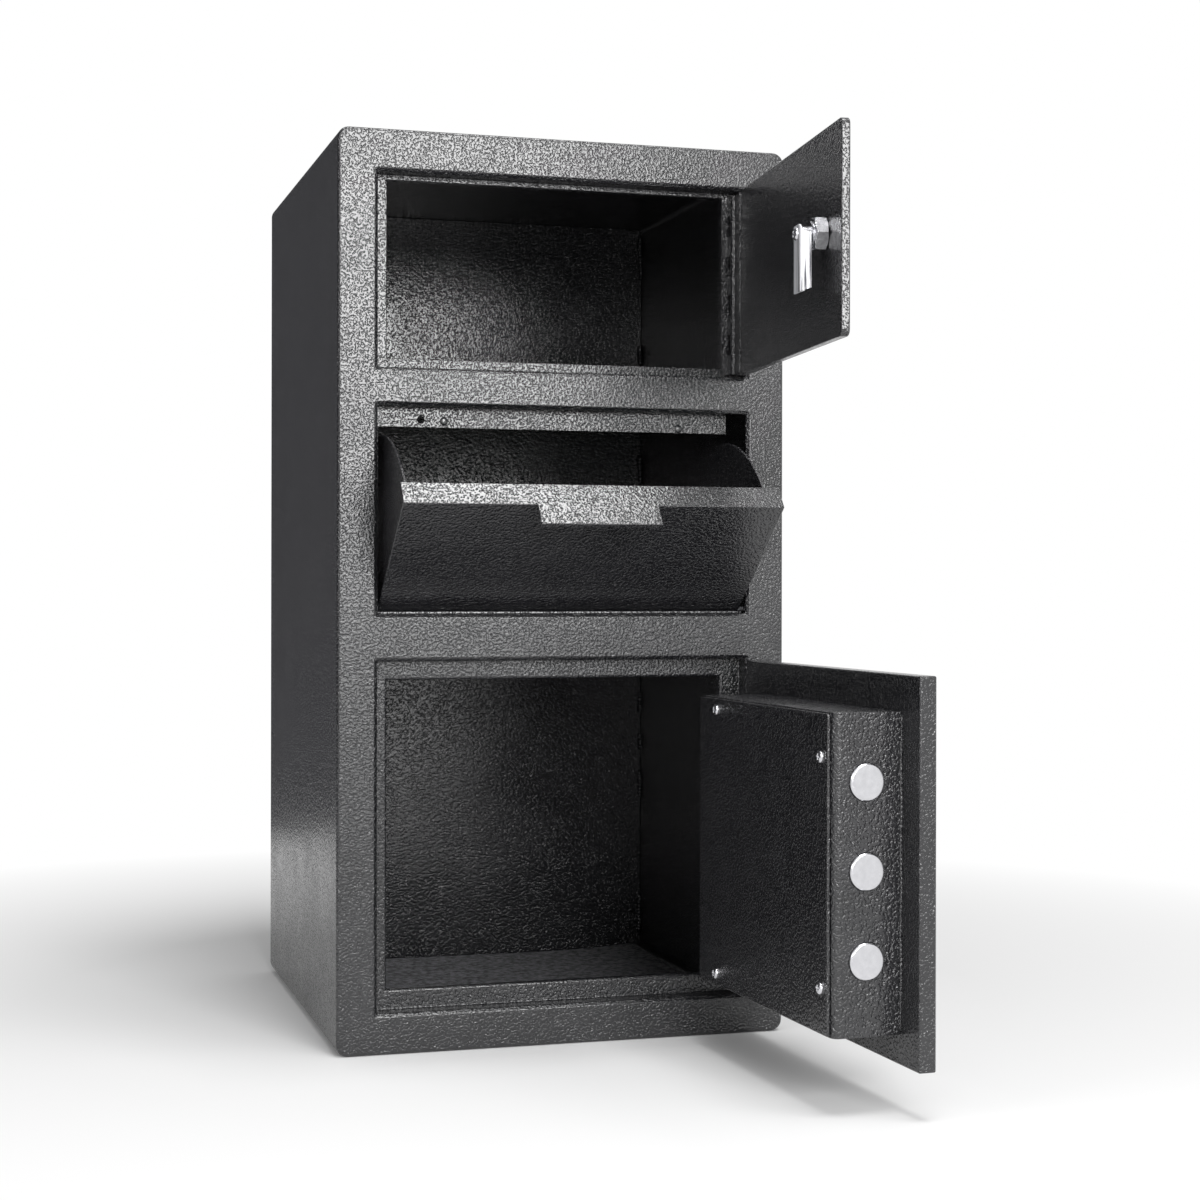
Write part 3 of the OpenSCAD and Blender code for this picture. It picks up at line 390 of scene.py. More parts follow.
def steel_sheet(piece, thickness):
    """Gives a surface the thickness of its sheet, to its inner side, with its cut edges just broken."""
    wall = piece.modifiers.new("sheet", "SOLIDIFY")
    wall.thickness = thickness * MM
    wall.offset = -1
    wall.use_even_offset = True
    edge = piece.modifiers.new("edge", "BEVEL")
    edge.width = 0.25 * MM
    edge.segments = 2
    edge.limit_method = "ANGLE"
    edge.angle_limit = radians(60)
    edge.harden_normals = True


# Folded and cut sheet pieces: the CAD shape, its edges rounded

PLATE_LOW, PLATE_HIGH = shut_box("front_frame")
BODY_LOW, BODY_HIGH = shut_box("body_shell")
STOP_LOW, STOP_HIGH = shut_box("vault_stop_frame")
BODY_CORNER = 9.0      # radius of the body's upright outline
STOP_SHEET = 2.0       # sheet of the stop frames
STOP_LIP = 5.0         # lip turned back from a stop frame's ledge
NEAR = 1.0             # an edge that is this near to a face or an outline lies on it


def front_share(middle):
    """The front edge of the plate is ground round after welding; the seam against the body is welded flat.

    The outline's corners are quarter circles, so the way out is measured from their middles. The edges of
    the openings are cut, and get a third of the width.
    """
    half_x, half_z = PLATE_HIGH[0], PLATE_HIGH[2] / 2
    out_x = max(abs(middle.x) - (half_x - BODY_CORNER), 0)
    out_z = max(abs(middle.z - half_z) - (half_z - BODY_CORNER), 0)
    if np.hypot(out_x, out_z) > BODY_CORNER - NEAR:
        return 1.0 if middle.y < PLATE_LOW[1] + NEAR else 0.0
    return 0.35


def body_share(middle):
    """The seam against the front plate is welded flat."""
    return 0.0 if middle.y < BODY_LOW[1] + NEAR / 2 else 1.0


def ledge_share(middle):
    """The folds of the vault's ledge: wide where the sheet turns back behind it, half as wide at its root."""
    ledge_face = STOP_HIGH[1] - STOP_LIP - STOP_SHEET
    if abs(middle.y - ledge_face) > NEAR / 2:
        return 1.0
    root = STOP_SHEET + NEAR
    at_side = abs(middle.x) > STOP_HIGH[0] - root
    at_end = middle.z < STOP_LOW[2] + root or middle.z > STOP_HIGH[2] - root
    return 1.25 if at_side or at_end else 2.5


softened("front_frame", 2.2, front_share)
softened("body_shell", 0.8, body_share)
softened("vault_stop_frame", 0.8, ledge_share)
SOFT_EDGES = {
    "back_panel": 0.6, "locker_stop_frame": 0.8, "hopper_sill": 0.6,
    "locker_door": 1.0, "vault_door": 1.3, "bolt_box_cover": 0.9,
    "hopper_front": 0.8, "hopper_tray": 0.7, "keypad_housing": 1.2,
    "bolt_box": 0.7, "locker_shelf": 0.6, "hopper_brackets": 0.6, "vault_hinge_lugs": 0.6,
    "bolt_guide": 0.5, "bolt_carrier": 0.6, "drive_crank": 0.5, "lock_solenoid": 1.2,
}
for name, width in SOFT_EDGES.items():
    softened(name, width)
for name in ("hopper_side_left", "hopper_side_right"):
    softened(name, 0.5, merge_flat=False)

# Weld beads in the inner rear corners


def bead(x, y, z0, z1, radius, seed):
    """A bead along Z: a round section that swells at each puddle of weld and fades to nothing at its ends.

    With s the height z as a share of the bead, the radius is r * (1 - (2s - 1)^8)^0.5 times
    0.75 + 0.25 |sin(pi z / pitch)|, and the middle wavers to the side by 0.5 sin(z / 9). The seed shifts
    both waves.
    """
    pitch, step, around = 3.2, 0.5, 16
    height = np.linspace(z0, z1, int((z1 - z0) / step) + 2)
    share = (height - z0) / (z1 - z0)
    swell = 0.75 + 0.25 * np.abs(np.sin(np.pi * height / pitch + seed))
    size = radius * np.sqrt(np.clip(1 - (2 * share - 1) ** 8, 0, 1)) * swell
    waver = 0.5 * np.sin(height / 9 + seed)
    angle = circle(around)
    points = np.stack([x + waver[:, None] + size[:, None] * np.cos(angle),
                       y + size[:, None] * np.sin(angle),
                       np.broadcast_to(height[:, None], (len(height), around))], axis=-1)
    return grid(points, wrap_v=True)


WALL = 3.0                    # sheet of the body
BEAD_R, BEAD_IN = 2.6, 1.2    # a bead's radius, and how far its middle stands off both walls
# heights between which the beads run, laid by hand in short lengths
WELDS = [(20, 58), (150, 176), (196, 212), (232, 252), (452, 480), (566, 586), (648, 690)]
CORNER_X = BODY_HIGH[0] - WALL - BEAD_IN
CORNER_Y = BODY_HIGH[1] - WALL - BEAD_IN
piece_of("rear_weld_beads", [bead(side * CORNER_X, CORNER_Y, z0, z1, BEAD_R, 1.7 * number + side)
                             for number, (z0, z1) in enumerate(WELDS) for side in (-1, 1)],
         "safe_body", "powder_coat")

# The bolt box is welded to the door along its root on the bolt side
BOX_LOW, BOX_HIGH = shut_box("bolt_box", VAULT)
piece_of("box_root_weld",
         [bead(BOX_LOW[0] + 0.1, BOX_LOW[1] + 0.2, BOX_LOW[2] + 2, BOX_HIGH[2] - 2, radius=1.3, seed=0.4)],
         "vault_door", "powder_coat", place=VAULT)

# Floor mat of needle felt


def border_steps(half, rim, fine, coarse):
    """Places from -half to half, even in the middle, that within rim of the ends close up as 1 - cos does."""
    ends = rim * (1 - np.cos(np.linspace(0, QUARTER, fine)))
    middle = np.linspace(-half + rim, half - rim, coarse)
    return np.concatenate([-half + ends[:-1], middle, half - ends[:-1][::-1]])


def felt_mat():
    """The mat lies on the floor of the vault; its back right corner has crept up the wall a little.

    For x, y on the mat, the width at y draws in by r - (r^2 - c^2)^0.5 where y is c into a corner of
    radius r. The felt is t thick, times (1 - (1 - d / e)^2)^0.5 within e of its border, at distance d, and
    0.1 at the border itself, with tufts of 0.12 mm. It sits on low waves of under half a millimetre, plus a
    lift that grows from 95 mm right of the middle, with the square of the way, and from 60 mm behind it.
    """
    low, high = shut_box("floor_mat")
    trim, pressed = 0.5, 0.6                # cut short of the CAD mat all round, and pressed thinner
    corner, edge, least = 14.0, 2.2, 0.1    # corner radius, width of the rounded border, its thickness
    half_x, half_y = (high[:2] - low[:2]) / 2 - trim
    thick = high[2] - low[2] - pressed
    u = border_steps(half_x, 6, 9, 110)[None, :]
    y = border_steps(half_y, 6, 9, 116)[:, None]
    into = np.clip(np.abs(y) - (half_y - corner), 0, corner)
    width = half_x - corner + np.sqrt(corner ** 2 - into ** 2)
    x = u * width / half_x
    rim = np.minimum(width - np.abs(x), half_y - np.abs(y))
    height = thick * np.sqrt(np.clip(1 - (1 - np.clip(rim / edge, 0, 1)) ** 2, 0, 1))
    wave = 0.22 + 0.12 * np.sin(x / 31 + y / 47) + 0.1 * np.sin(x / 17 - y / 23 + 2)
    lift = 5.0 * np.clip((x - 95) / 75, 0, 1) ** 2 * np.clip((y - 60) / 120, 0, 1)
    tuft = 0.12 * np.sin(x * 1.9 + 3 * np.sin(y / 5)) * np.sin(y * 1.7 + 2 * np.sin(x / 7)) * (height / thick)
    base = low[2] + wave + lift
    y = np.broadcast_to(y, x.shape)
    top = np.stack([x, y, base + np.maximum(height + tuft * (height > 0), least)], axis=-1)
    under = np.stack([x, y, base], axis=-1)
    wall = np.stack([np.concatenate([face[0, :-1], face[:-1, -1], face[-1, :0:-1], face[:0:-1, 0]])
                     for face in (top, under)])
    return [grid(top), grid(under), grid(wall, wrap_v=True)], (2 * half_x * MM, 2 * half_y * MM)


MAT_PARTS, MAT_SIZE = felt_mat()
mat = piece_of("felt_floor_mat", MAT_PARTS, "safe_body", "mat_felt", ["floor_mat"], smooth_to=0)

# Fastenings


def cross(x, z, arm, width, depth):
    """Depth of a cross recess: two crossed slots with walls that lean, deepest in the middle.

    The lesser of |x| and |z| says how far into a slot's wall a point is, and the greater how far out along
    its arm, where the floor rises to nothing at the arm's end.
    """
    wall, slope = 0.35, 0.6 * arm
    near, far = np.minimum(np.abs(x), np.abs(z)), np.maximum(np.abs(x), np.abs(z))
    return depth * np.clip((width - near) / wall, 0, 1) * np.clip((arm - far) / slope, 0, 1)


def head(x, y, z, radius, height, facing, sink, power=2.6):
    """A screw head on the plane at y, facing +Y or -Y.

    At distance d from its middle it is h * (1 - (d / r)^p)^(1/p) high, less the depth that sink(x, z) gives
    there, and at least 0.05 mm.
    """
    steps, least = 64, 0.05
    rings = radius * np.sin(np.linspace(0, QUARTER, 26))[:, None]
    angle = circle(steps)[None, :]
    dx, dz = rings * np.cos(angle), rings * np.sin(angle)
    up = height * np.clip(1 - (rings / radius) ** power, 0, 1) ** (1 / power) - sink(dx, dz)
    top = np.stack([x + dx, y + facing * np.maximum(up, least), z + dz], axis=-1)
    top[-1, :, 1] = y
    middle = np.broadcast_to([x, y, z], (1, steps, 3))
    return grid(np.concatenate([top, middle]), wrap_v=True)


SCREWS_LOW, SCREWS_HIGH = shut_box("cover_screws", VAULT)
COVER_BACK = shut_box("bolt_box_cover", VAULT)[1][1]
BOLTS = {name: shut_box(name, VAULT) for name in ("vault_bolt_top", "vault_bolt_middle", "vault_bolt_bottom")}
BOLT_R = (BOLTS["vault_bolt_top"][1][2] - BOLTS["vault_bolt_top"][0][2]) / 2
HEAD_R, HEAD_H = 4.2, SCREWS_HIGH[1] - COVER_BACK
HINGE_SIDE = SCREWS_HIGH[0] - HEAD_R
BOLT_SIDE = SCREWS_LOW[0] + HEAD_R
OVER_TOP_BOLT, UNDER_LOW_BOLT = 3.9, 6.2
SCREWS_AT = [
    (HINGE_SIDE, SCREWS_HIGH[2] - HEAD_R),
    (HINGE_SIDE, SCREWS_LOW[2] + HEAD_R),
    (BOLT_SIDE, BOLTS["vault_bolt_top"][1][2] + OVER_TOP_BOLT),
    (BOLT_SIDE, BOLTS["vault_bolt_bottom"][0][2] - UNDER_LOW_BOLT),
]
piece_of("cover_pan_screws",
         [head(x, COVER_BACK, z, HEAD_R, HEAD_H, 1,
               lambda dx, dz: cross(dx, dz, arm=2.4, width=0.75, depth=1.5))
          for x, z in SCREWS_AT],
         "vault_door", "bright_chrome", ["cover_screws"], VAULT)

for name, (low, high) in BOLTS.items():
    # a machined bar: flat end, a turned chamfer with its edges just broken, a plain shank
    rim = [(low[0] + depth, BOLT_R - inward)
           for inward, depth in ((0.95, 0), (0.8, 0.05), (0.7, 0.15), (0.15, 0.75), (0.05, 0.85), (0, 1.0))]
    faced = [(low[0], 0), (low[0], 4), (low[0], 8), (low[0], BOLT_R - 2)]
    far_end = [(high[0] - 0.8, BOLT_R), (high[0], BOLT_R - 0.8), (high[0], 0)]
    middle_y, middle_z = (low[1] + high[1]) / 2, (low[2] + high[2]) / 2
    piece_of(name + "_bar", [turned(faced + rim + far_end, (0, middle_y, middle_z), "x", 96)],
             "bolt_work", "bright_chrome", [name], VAULT, smooth_to=50)

HINGE_LOW, HINGE_HIGH = shut_box("locker_hinge_screws")
SMALL_R, SMALL_H = (HINGE_HIGH[0] - HINGE_LOW[0]) / 2, 0.8
screws = piece_of(
    "hinge_screw_heads",
    [head((HINGE_LOW[0] + HINGE_HIGH[0]) / 2, HINGE_LOW[1] + SMALL_H, z, SMALL_R, SMALL_H, -1,
          lambda dx, dz: cross(dx, dz, arm=1.1, width=0.35, depth=0.5))
     for z in np.linspace(HINGE_LOW[2] + SMALL_R, HINGE_HIGH[2] - SMALL_R, 4)],
    "safe_body", "powder_coat", ["locker_hinge_screws"])
screws.data.materials[0] = THIN_COAT

RIVETS_LOW, RIVETS_HIGH = shut_box("header_rivets")
RIVET_R, DOME_H = 3.2, 1.3
# a rivet's dome has a quarter ellipse as its section; its tail is a shank with a bulb behind the strip
DOME = [(RIVETS_LOW[1] + DOME_H * (1 - np.cos(t)), RIVET_R * np.sin(t)) for t in np.linspace(0, QUARTER, 10)]
TAIL = [(RIVETS_LOW[1] + 1.4, 1.9), (RIVETS_HIGH[1] - 1.3, 1.9), (RIVETS_HIGH[1] - 1.2, 2.6),
        (RIVETS_HIGH[1] - 0.3, 2.3), (RIVETS_HIGH[1], 1.2), (RIVETS_HIGH[1], 0)]
RIVETS_AT = [(RIVETS_LOW[0] + RIVET_R, RIVETS_HIGH[2] - RIVET_R),
             (RIVETS_HIGH[0] - RIVET_R, RIVETS_LOW[2] + RIVET_R)]
rivets = piece_of("header_dome_rivets", [turned(DOME + TAIL, (x, 0, z), "y", 40) for x, z in RIVETS_AT],
                  "safe_body", "powder_coat", ["header_rivets"])
rivets.data.materials[0] = THIN_COAT

# Cam lock of the locker door

NUT_LOW, NUT_HIGH = shut_box("lock_nut", LOCKER)
BARREL_LOW, BARREL_HIGH = shut_box("lock_barrel", LOCKER)
PLUG_LOW, PLUG_HIGH = shut_box("lock_plug", LOCKER)
CAM_LOW, CAM_HIGH = shut_box("lock_cam", LOCKER)
LOCK_X, LOCK_Z = (NUT_LOW[0] + NUT_HIGH[0]) / 2, (NUT_LOW[2] + NUT_HIGH[2]) / 2
BARREL_R, BARREL_BORE = 9.0, 5.6


def six_sided(along, radius, angle):
    """A hexagon with a corner towards +X, cut by a cone at each end; the bore stays round.

    For half its width h, its radius is h / cos(a), with a the angle from the middle of a flat, and at most
    0.97 h + 1.7 d at distance d from an end.
    """
    flat = (NUT_HIGH[2] - NUT_LOW[2]) / 2
    hexagon = flat / np.cos(np.mod(angle, np.pi / 3) - np.pi / 6)
    end = np.minimum(along - NUT_LOW[1], NUT_HIGH[1] - along)
    cone = flat * 0.97 + 1.7 * end
    return np.where(radius > BARREL_R + 0.5, np.minimum(hexagon, cone), radius)


def nut_profile():
    """Steps along the outside of the nut, close together at its ends, and back through its bore."""
    steps = np.concatenate([np.linspace(0, 1.2, 7), np.linspace(1.4, 8.1, 6), np.linspace(8.3, 9.5, 7)])
    steps = NUT_LOW[1] + steps / steps[-1] * (NUT_HIGH[1] - NUT_LOW[1])
    outside, bore = 12.5, BARREL_R + 0.15
    return [(d, outside) for d in steps] + [(steps[-1], bore), (steps[0], bore)]


piece_of("lock_hex_nut", [turned(nut_profile(), (LOCK_X, 0, LOCK_Z), "y", 96, wrap=True, shape=six_sided)],
         "locker_door", "bright_chrome", ["lock_nut"], LOCKER, smooth_to=25)


def threaded(along, radius, angle):
    """The barrel's thread: its radius dips by up to depth along a helix that climbs by pitch in each turn.

    At distance d along the axis and angle a the dip is depth times (1 - cos(2 pi d / pitch - a)) / 2.
    """
    pitch, depth = 1.25, 0.55
    dip = depth * (0.5 - 0.5 * np.cos(2 * np.pi * (along / pitch - angle / (2 * np.pi))))
    on_thread = (along > NUT_LOW[1] + 0.3) & (radius > BARREL_R - 0.4)
    return np.where(on_thread, radius - dip, radius)


def barrel_profile():
    """Over the flange with its rounded rim, along the thread, and back through the bore."""
    front, back, nut = BARREL_LOW[1], BARREL_HIGH[1], NUT_LOW[1]
    flange = [(front, BARREL_BORE), (front, 10.4), (front + 0.3, 11.1), (front + 0.9, 11.5),
              (front + 2, 11.5), (front + 2.02, BARREL_R)]
    thread = [(d, BARREL_R) for d in np.linspace(nut + 0.5, back - 0.4, 70)]
    return flange + [(nut + 0.3, BARREL_R)] + thread + [(back, BARREL_R - 0.7), (back, BARREL_BORE)]


piece_of("lock_threaded_barrel",
         [turned(barrel_profile(), (LOCK_X, 0, LOCK_Z), "y", 72, wrap=True, shape=threaded)],
         "locker_door", "bright_chrome", ["lock_barrel"], LOCKER)


def keyway(dx, dz):
    """Depth of the key slot in the front of the plug: full in the middle, with walls that lean all round."""
    depth, half_x, half_z, lean_x, lean_z = 4.5, 0.75, 3.5, 0.15, 0.2
    in_x = np.clip((half_x - np.abs(dx)) / lean_x, 0, 1)
    in_z = np.clip((half_z - np.abs(dz)) / lean_z, 0, 1)
    return depth * in_x * in_z


def plug():
    """The key plug: a disc with the key slot sunk into it, then a plain bar back to the cam.

    At distance d from its middle the disc of radius r falls back by 0.35 (d / r)^12, plus the slot's depth.
    """
    steps = 96
    radius, front, back = (PLUG_HIGH[0] - PLUG_LOW[0]) / 2, PLUG_LOW[1], PLUG_HIGH[1]
    rings = radius * np.concatenate([np.linspace(0, 0.94, 34), [0.97, 1.0]])[:, None]
    angle = circle(steps)[None, :]
    dx, dz = rings * np.cos(angle), rings * np.sin(angle)
    ease = 0.35 * (rings / radius) ** 12
    disc = np.stack([dx, front + ease + keyway(dx, dz), dz], axis=-1)
    out_in = np.array([[1], [0]])
    bar = np.stack([dx[-1:] * out_in, np.full((2, steps), back), dz[-1:] * out_in], axis=-1)
    return grid(np.concatenate([disc, bar]) + [LOCK_X, 0, LOCK_Z], wrap_v=True)


piece_of("lock_key_plug", [plug()], "locker_lock", "bright_chrome", ["lock_plug"], LOCKER, smooth_to=50)


def cam_channel():
    """The cam is a strip folded to a channel, and this is its outer side.

    Its section runs up one flange, round a bend, along the web, round a bend and down the other flange. It is
    carried from the low end to the top end, whose corners are cut back by a quarter circle. At distance d
    from the web's outer face the top end lies 0.2 d lower and the low end 0.35 d higher.
    """
    bend, cut, top_lean, low_lean = 2.4, 4.0, 0.2, 0.35
    turn = np.linspace(0, QUARTER, 7)
    right_x = np.concatenate([[CAM_HIGH[0]], CAM_HIGH[0] - bend + bend * np.cos(turn)])
    right_y = np.concatenate([[CAM_LOW[1]], CAM_HIGH[1] - bend + bend * np.sin(turn)])
    middle = (CAM_LOW[0] + CAM_HIGH[0]) / 2
    web = np.linspace(right_x[-1], 2 * middle - right_x[-1], 12)[1:-1]
    x = np.concatenate([right_x, web, 2 * middle - right_x[::-1]])
    y = np.concatenate([right_y, np.full(len(web), CAM_HIGH[1]), right_y[::-1]])
    way = np.linspace(0, 1, 24)[:, None]
    into = np.clip(np.abs(x - middle) - ((CAM_HIGH[0] - CAM_LOW[0]) / 2 - cut), 0, cut)
    top = CAM_HIGH[2] - (cut - np.sqrt(cut ** 2 - into ** 2)) - top_lean * (CAM_HIGH[1] - y)
    low = CAM_LOW[2] + low_lean * (CAM_HIGH[1] - y)
    z = low + way * (top - low)
    return grid(np.stack([np.broadcast_to(x, z.shape), np.broadcast_to(y, z.shape), z], axis=-1))


cam = piece_of("lock_folded_cam", [cam_channel()], "locker_lock", "bright_chrome", ["lock_cam"], LOCKER)
cam.data.materials[0] = bright_zinc_strip()
steel_sheet(cam, 1.5)
CAM_HEAD_R, CAM_HEAD_H = 4.5, 2.6
piece_of("lock_cam_pan_screw",
         [head(LOCK_X, CAM_HIGH[1], LOCK_Z, CAM_HEAD_R, CAM_HEAD_H, 1,
               lambda dx, dz: cross(dx, dz, arm=2.6, width=0.8, depth=1.6), power=2.2)],
         "locker_lock", "bright_chrome", ["lock_cam_screw"], LOCKER)

# Knob and keypad on the outside of the vault door

KNOB_LOW, KNOB_HIGH = shut_box("door_knob", VAULT)
KNOB_X, KNOB_Z = (KNOB_LOW[0] + KNOB_HIGH[0]) / 2, (KNOB_LOW[2] + KNOB_HIGH[2]) / 2
KNOB_R = (KNOB_HIGH[0] - KNOB_LOW[0]) / 2
KNOB_ROOT = 3.0
SPINDLE_END = shut_box("knob_spindle", VAULT)[0][1] - 0.3


def fluted(along, radius, angle):
    """Twelve finger grooves, each a circle just outside the rim that cuts into it.

    For a groove's middle at distance c, its radius g and the angle a to its middle, the radius there is
    c cos(a) - (g^2 - (c sin(a))^2)^0.5.
    """
    groove, middle = 2.2, KNOB_R + 1.2
    off = np.mod(angle + np.pi / 12, np.pi / 6) - np.pi / 12
    side = groove ** 2 - (middle * np.sin(off)) ** 2
    bottom = middle * np.cos(off) - np.sqrt(np.clip(side, 0, None))
    grip = (radius > KNOB_R - 3.2) & (side > 0) & (along < KNOB_HIGH[1] - KNOB_ROOT - 1)
    return np.where(grip, np.minimum(radius, bottom), radius)


def knob_profile():
    """From the middle of the hollowed face over the rim, a quarter circle, down to the root and its bore."""
    front, root, back = KNOB_LOW[1], KNOB_HIGH[1] - KNOB_ROOT, KNOB_HIGH[1]
    rim_r, bore = 2.6, 5.2
    face = [(front + 0.8, 0), (front + 0.8, 4), (front + 0.7, 9), (front + 0.35, 13),
            (front + 0.1, KNOB_R - 4)]
    rim = [(front + rim_r * (1 - np.cos(t)), KNOB_R - rim_r + rim_r * np.sin(t))
           for t in np.linspace(0, QUARTER, 10)]
    side = [(d, KNOB_R) for d in np.linspace(front + 3, root - 1.2, 8)]
    tail = [(root - 0.9, KNOB_R), (root - 0.3, KNOB_R - 0.3), (root, KNOB_R - 0.9), (root, KNOB_R - 2.8),
            (root + 0.3, KNOB_R - KNOB_ROOT), (back, KNOB_R - KNOB_ROOT)]
    return face + rim + side + tail + [(back, bore), (SPINDLE_END, bore), (SPINDLE_END, 0)]


piece_of("door_fluted_knob", [turned(knob_profile(), (KNOB_X, 0, KNOB_Z), "y", 288, shape=fluted)],
         "knob", "bright_chrome", ["door_knob"], VAULT)


def cushion(x, z, half_x, half_z, corner, levels):
    """A pad as rings of a rounded rectangle: each level is (y, inset), the end rings shrink to a point.

    A ring is four quarter circles of radius c - i, for the pad's corner radius c and the inset i, about the
    points that lie c inside its sides.
    """
    turn = np.linspace(0, QUARTER, 7)
    points = 4 * len(turn)
    signs = np.array([(1, 1), (-1, 1), (-1, -1), (1, -1)])
    angle = (np.arange(4)[:, None] * QUARTER + turn).ravel()
    rings = [np.broadcast_to([x, levels[0][0], z], (points, 3))]
    for y, inset in levels:
        radius = max(corner - inset, 0.05)
        centre = np.repeat(signs * [half_x - inset - radius, half_z - inset - radius], len(turn), axis=0)
        ring = centre + radius * np.stack([np.cos(angle), np.sin(angle)], axis=-1)
        rings.append(np.stack([x + ring[:, 0], np.full(points, y), z + ring[:, 1]], axis=-1))
    rings.append(np.broadcast_to([x, levels[-1][0], z], (points, 3)))
    return grid(np.stack(rings), wrap_v=True)


PADS_LOW, PADS_HIGH = shut_box("keypad_pads", VAULT)
PADS_X, PADS_Z = (PADS_LOW[0] + PADS_HIGH[0]) / 2, (PADS_LOW[2] + PADS_HIGH[2]) / 2
SHEET_X, SHEET_Z = PADS_HIGH[0] - PADS_LOW[0], PADS_HIGH[2] - PADS_LOW[2]
MARGIN = 2
PITCH_X, PITCH_Z = (SHEET_X - MARGIN) / 3, (SHEET_Z - MARGIN) / 4
PAD_X, PAD_Z = PITCH_X / 2 - MARGIN, PITCH_Z / 2 - MARGIN
PAD_FACE = PADS_LOW[1]
PAD_FOOT = PAD_FACE + 1.3
PAD_LEVELS = [(PAD_FOOT, 0), (PAD_FACE + 0.7, 0.05), (PAD_FACE + 0.3, 0.35), (PAD_FACE + 0.1, 0.9),
              (PAD_FACE + 0.02, 2)]
PAD_PLACES = [(PADS_X + i * PITCH_X, PADS_Z - j * PITCH_Z)
              for j in (-1.5, -0.5, 0.5, 1.5) for i in (-1, 0, 1)]
rubber = [cushion(PADS_X, PADS_Z, SHEET_X / 2, SHEET_Z / 2, 4,
                  [(PADS_HIGH[1], 0), (PAD_FOOT, 0), (PAD_FACE + 1.1, 0.3)])]
rubber += [cushion(x, z, PAD_X, PAD_Z, 3, PAD_LEVELS) for x, z in PAD_PLACES]
piece_of("keypad_rubber_sheet", rubber, "vault_door", "pad_rubber", ["keypad_pads"], VAULT)


def digits():
    """The pads' characters as thin (points, faces) parts, in millimetres on the pads' faces."""
    parts = []
    for text, (x, z) in zip("123456789*0#", PAD_PLACES):
        curve = bpy.data.curves.new("digit", "FONT")
        curve.body = text
        curve.size = 9
        curve.extrude = 0.03
        curve.align_x, curve.align_y = "CENTER", "CENTER"
        holder = bpy.data.objects.new("digit", curve)
        mesh = bpy.data.meshes.new_from_object(holder)
        across, up, out = mesh_points(mesh).T
        parts.append((np.stack([x + across, PAD_FACE - out, z + up], axis=-1),
                      [tuple(face.vertices) for face in mesh.polygons]))
        bpy.data.objects.remove(holder)
        bpy.data.curves.remove(curve)
        bpy.data.meshes.remove(mesh)
    return parts


legend = finish_piece(mesh_of("keypad_digits", digits(), VAULT), "keypad_digits", "vault_door", "pad_rubber")
legend.data.materials[0] = pad_print()

# Camera, at the photograph's viewing angle


def look(yaw, pitch, roll):
    """The turn of a camera that faces +Y at zero: yaw towards +X, pitch upwards, roll clockwise."""
    return (Matrix.Rotation(radians(-yaw), 4, "Z") @ Matrix.Rotation(radians(90 + pitch), 4, "X")
            @ Matrix.Rotation(radians(-roll), 4, "Z"))


# place, angles, lens and shift were solved from the corners of the body, its openings and both doors
camera_data = bpy.data.cameras.new("camera")
camera_data.sensor_width = 36.0
camera_data.lens = 63.06
camera_data.shift_x = 0.0046
camera_data.shift_y = -0.0132
camera = new_object("camera", camera_data)
camera.matrix_world = Matrix.Translation((-0.4387, -1.7513, 0.3579)) @ look(16.39, -0.07, -0.11)
bpy.context.scene.camera = camera

# Stage: a pale floor that fades to white, white surroundings and soft lamps


def bare_material(name):
    """A new material without nodes, and its tree."""
    material = bpy.data.materials.new(name)
    material.use_nodes = True
    material.node_tree.nodes.clear()
    return material, material.node_tree


def seen_directly(tree):
    """1 for camera, glossy and transmission rays, which see the white surroundings; 0 for the rest."""
    path = add(tree, "ShaderNodeLightPath")
    some = add(tree, "ShaderNodeMath", {0: path.outputs["Is Camera Ray"], 1: path.outputs["Is Glossy Ray"]},
               operation="MAXIMUM").outputs[0]
    return add(tree, "ShaderNodeMath", {0: some, 1: path.outputs["Is Transmission Ray"]},
               operation="MAXIMUM").outputs[0]


def build_floor():
    """A pale square floor; from about 0.4 m to 1 m out it turns into the white of the surroundings."""
    half, level = 4.0, -0.0004
    fade_start, fade_end = 0.42, 1.05
    mesh = bpy.data.meshes.new("floor")
    mesh.from_pydata([(-half, -half, level), (half, -half, level), (half, half, level), (-half, half, level)],
                     [], [(0, 1, 2, 3)])
    floor = new_object("floor", mesh)
    material, tree = bare_material("pale_paper")
    place = add(tree, "ShaderNodeTexCoord").outputs["Object"]
    reach = add(tree, "ShaderNodeVectorMath", {0: place}, operation="LENGTH").outputs["Value"]
    far = add(tree, "ShaderNodeMapRange", {"Value": reach, "From Min": fade_start, "From Max": fade_end},
              clamp=True).outputs["Result"]
    white = add(tree, "ShaderNodeMath", {0: far, 1: seen_directly(tree)}, operation="MULTIPLY").outputs[0]
    paper = add(tree, "ShaderNodeBsdfDiffuse", {"Color": linear("#F4F4F4")})
    glow = add(tree, "ShaderNodeEmission", {"Color": (1, 1, 1, 1), "Strength": 1.0})
    mix = add(tree, "ShaderNodeMixShader", {0: white, 1: paper.outputs[0], 2: glow.outputs[0]})
    add(tree, "ShaderNodeOutputMaterial", {0: mix.outputs[0]})
    mesh.materials.append(material)


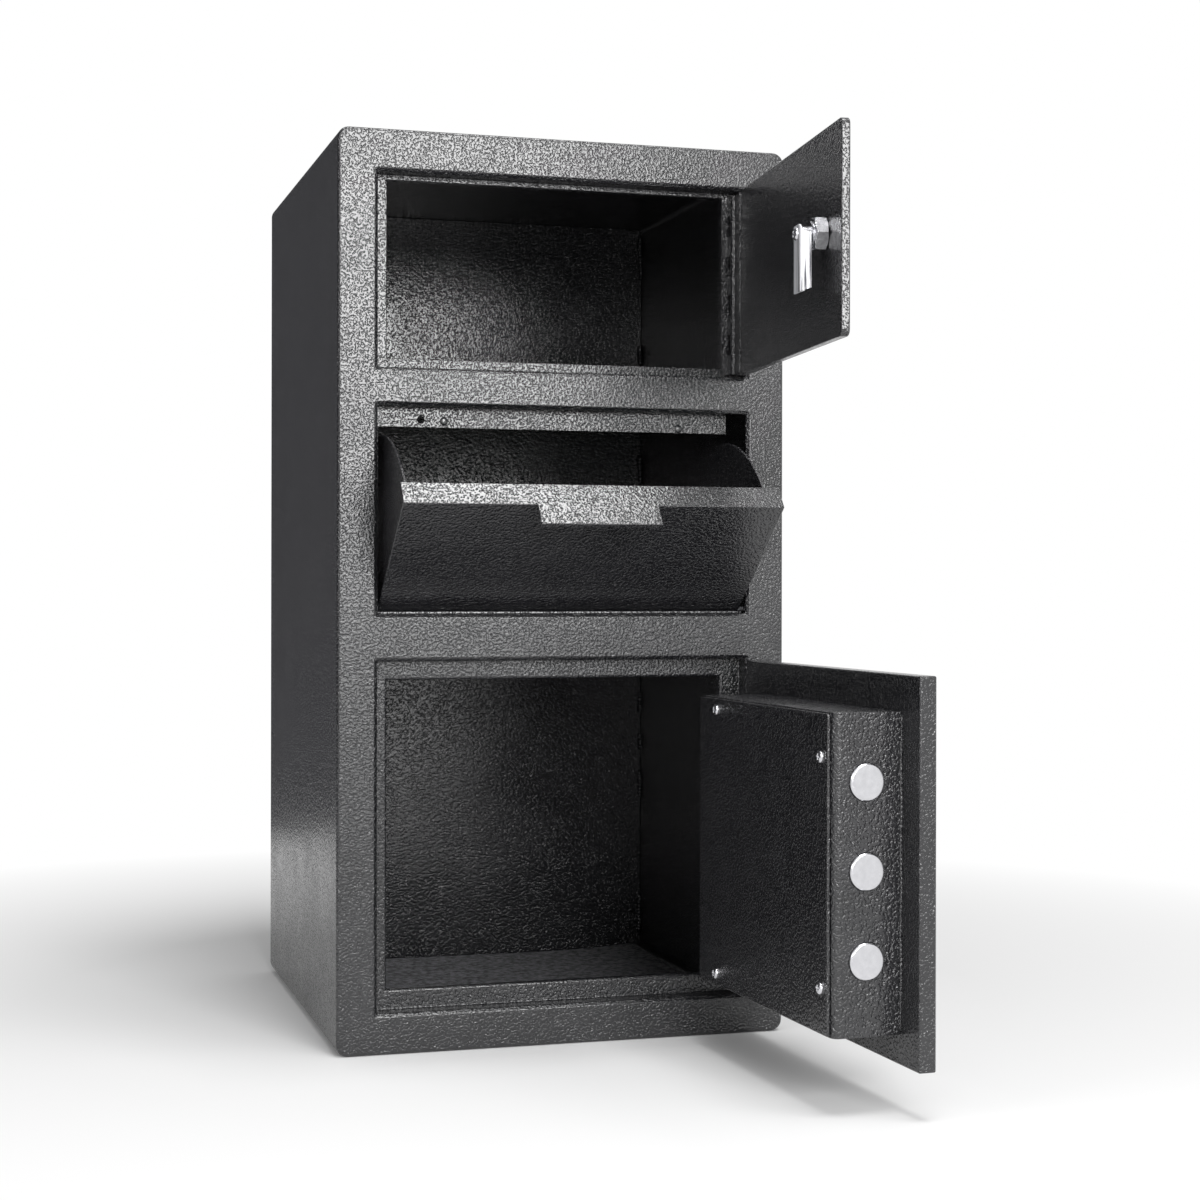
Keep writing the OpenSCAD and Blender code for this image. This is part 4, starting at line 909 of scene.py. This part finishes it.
def build_flag():
    """A dark upright arc to the left and behind that only reflections see: it keeps the left side dark."""
    angle = np.radians(np.linspace(85, 212, 40))[None, :]
    height = np.array([-0.0003, 2.6])[:, None]
    reach = 1.25
    points, quads = grid(np.stack(np.broadcast_arrays(reach * np.cos(angle), reach * np.sin(angle), height),
                                  axis=-1))
    mesh = bpy.data.meshes.new("flag")
    mesh.from_pydata(points.tolist(), [], quads.tolist())
    flag = new_object("flag", mesh)
    material, tree = bare_material("dark_cloth")
    shade = add(tree, "ShaderNodeEmission", {"Color": linear("#5F5F62"), "Strength": 1.0})
    add(tree, "ShaderNodeOutputMaterial", {0: shade.outputs[0]})
    mesh.materials.append(material)
    flag.visible_camera = False
    flag.visible_diffuse = False
    flag.visible_transmission = False
    flag.visible_shadow = False


def build_world(dim):
    """White surroundings, dimmer by a factor for the rays that only light the object."""
    world = bpy.data.worlds.new("studio")
    bpy.context.scene.world = world
    world.use_nodes = True
    tree = world.node_tree
    strength = add(tree, "ShaderNodeMapRange", {"Value": seen_directly(tree), "To Min": dim, "To Max": 1.0},
                   clamp=True).outputs["Result"]
    background = tree.nodes["Background"]
    background.inputs["Color"].default_value = (1, 1, 1, 1)
    tree.links.new(strength, background.inputs["Strength"])


def softbox(name, at, aim, size, power):
    """An area lamp of (width, height) at a point, facing another point."""
    lamp = bpy.data.lights.new(name, "AREA")
    lamp.shape = "RECTANGLE"
    lamp.size, lamp.size_y = size
    lamp.energy = power
    away = Vector(at) - Vector(aim)
    holder = new_object(name, lamp)
    holder.matrix_world = Matrix.Translation(at) @ away.to_track_quat("Z", "Y").to_matrix().to_4x4()


build_floor()
build_flag()
build_world(0.35)
softbox("front", (0.22, -2.75, 1.2), (0, -0.18, 0.45), (1.25, 1.25), 50)
softbox("low_front", (0.15, -2.75, 0.34), (0, -0.18, 0.45), (1.25, 0.42), 5)
softbox("left", (-2.6, -1.3, 1.5), (0.1, -0.3, 0.45), (1.0, 1.2), 14)
softbox("top", (0.2, -0.75, 2.4), (0, -0.25, 0.4), (0.95, 0.8), 27)

bpy.context.scene.view_settings.view_transform = "Standard"
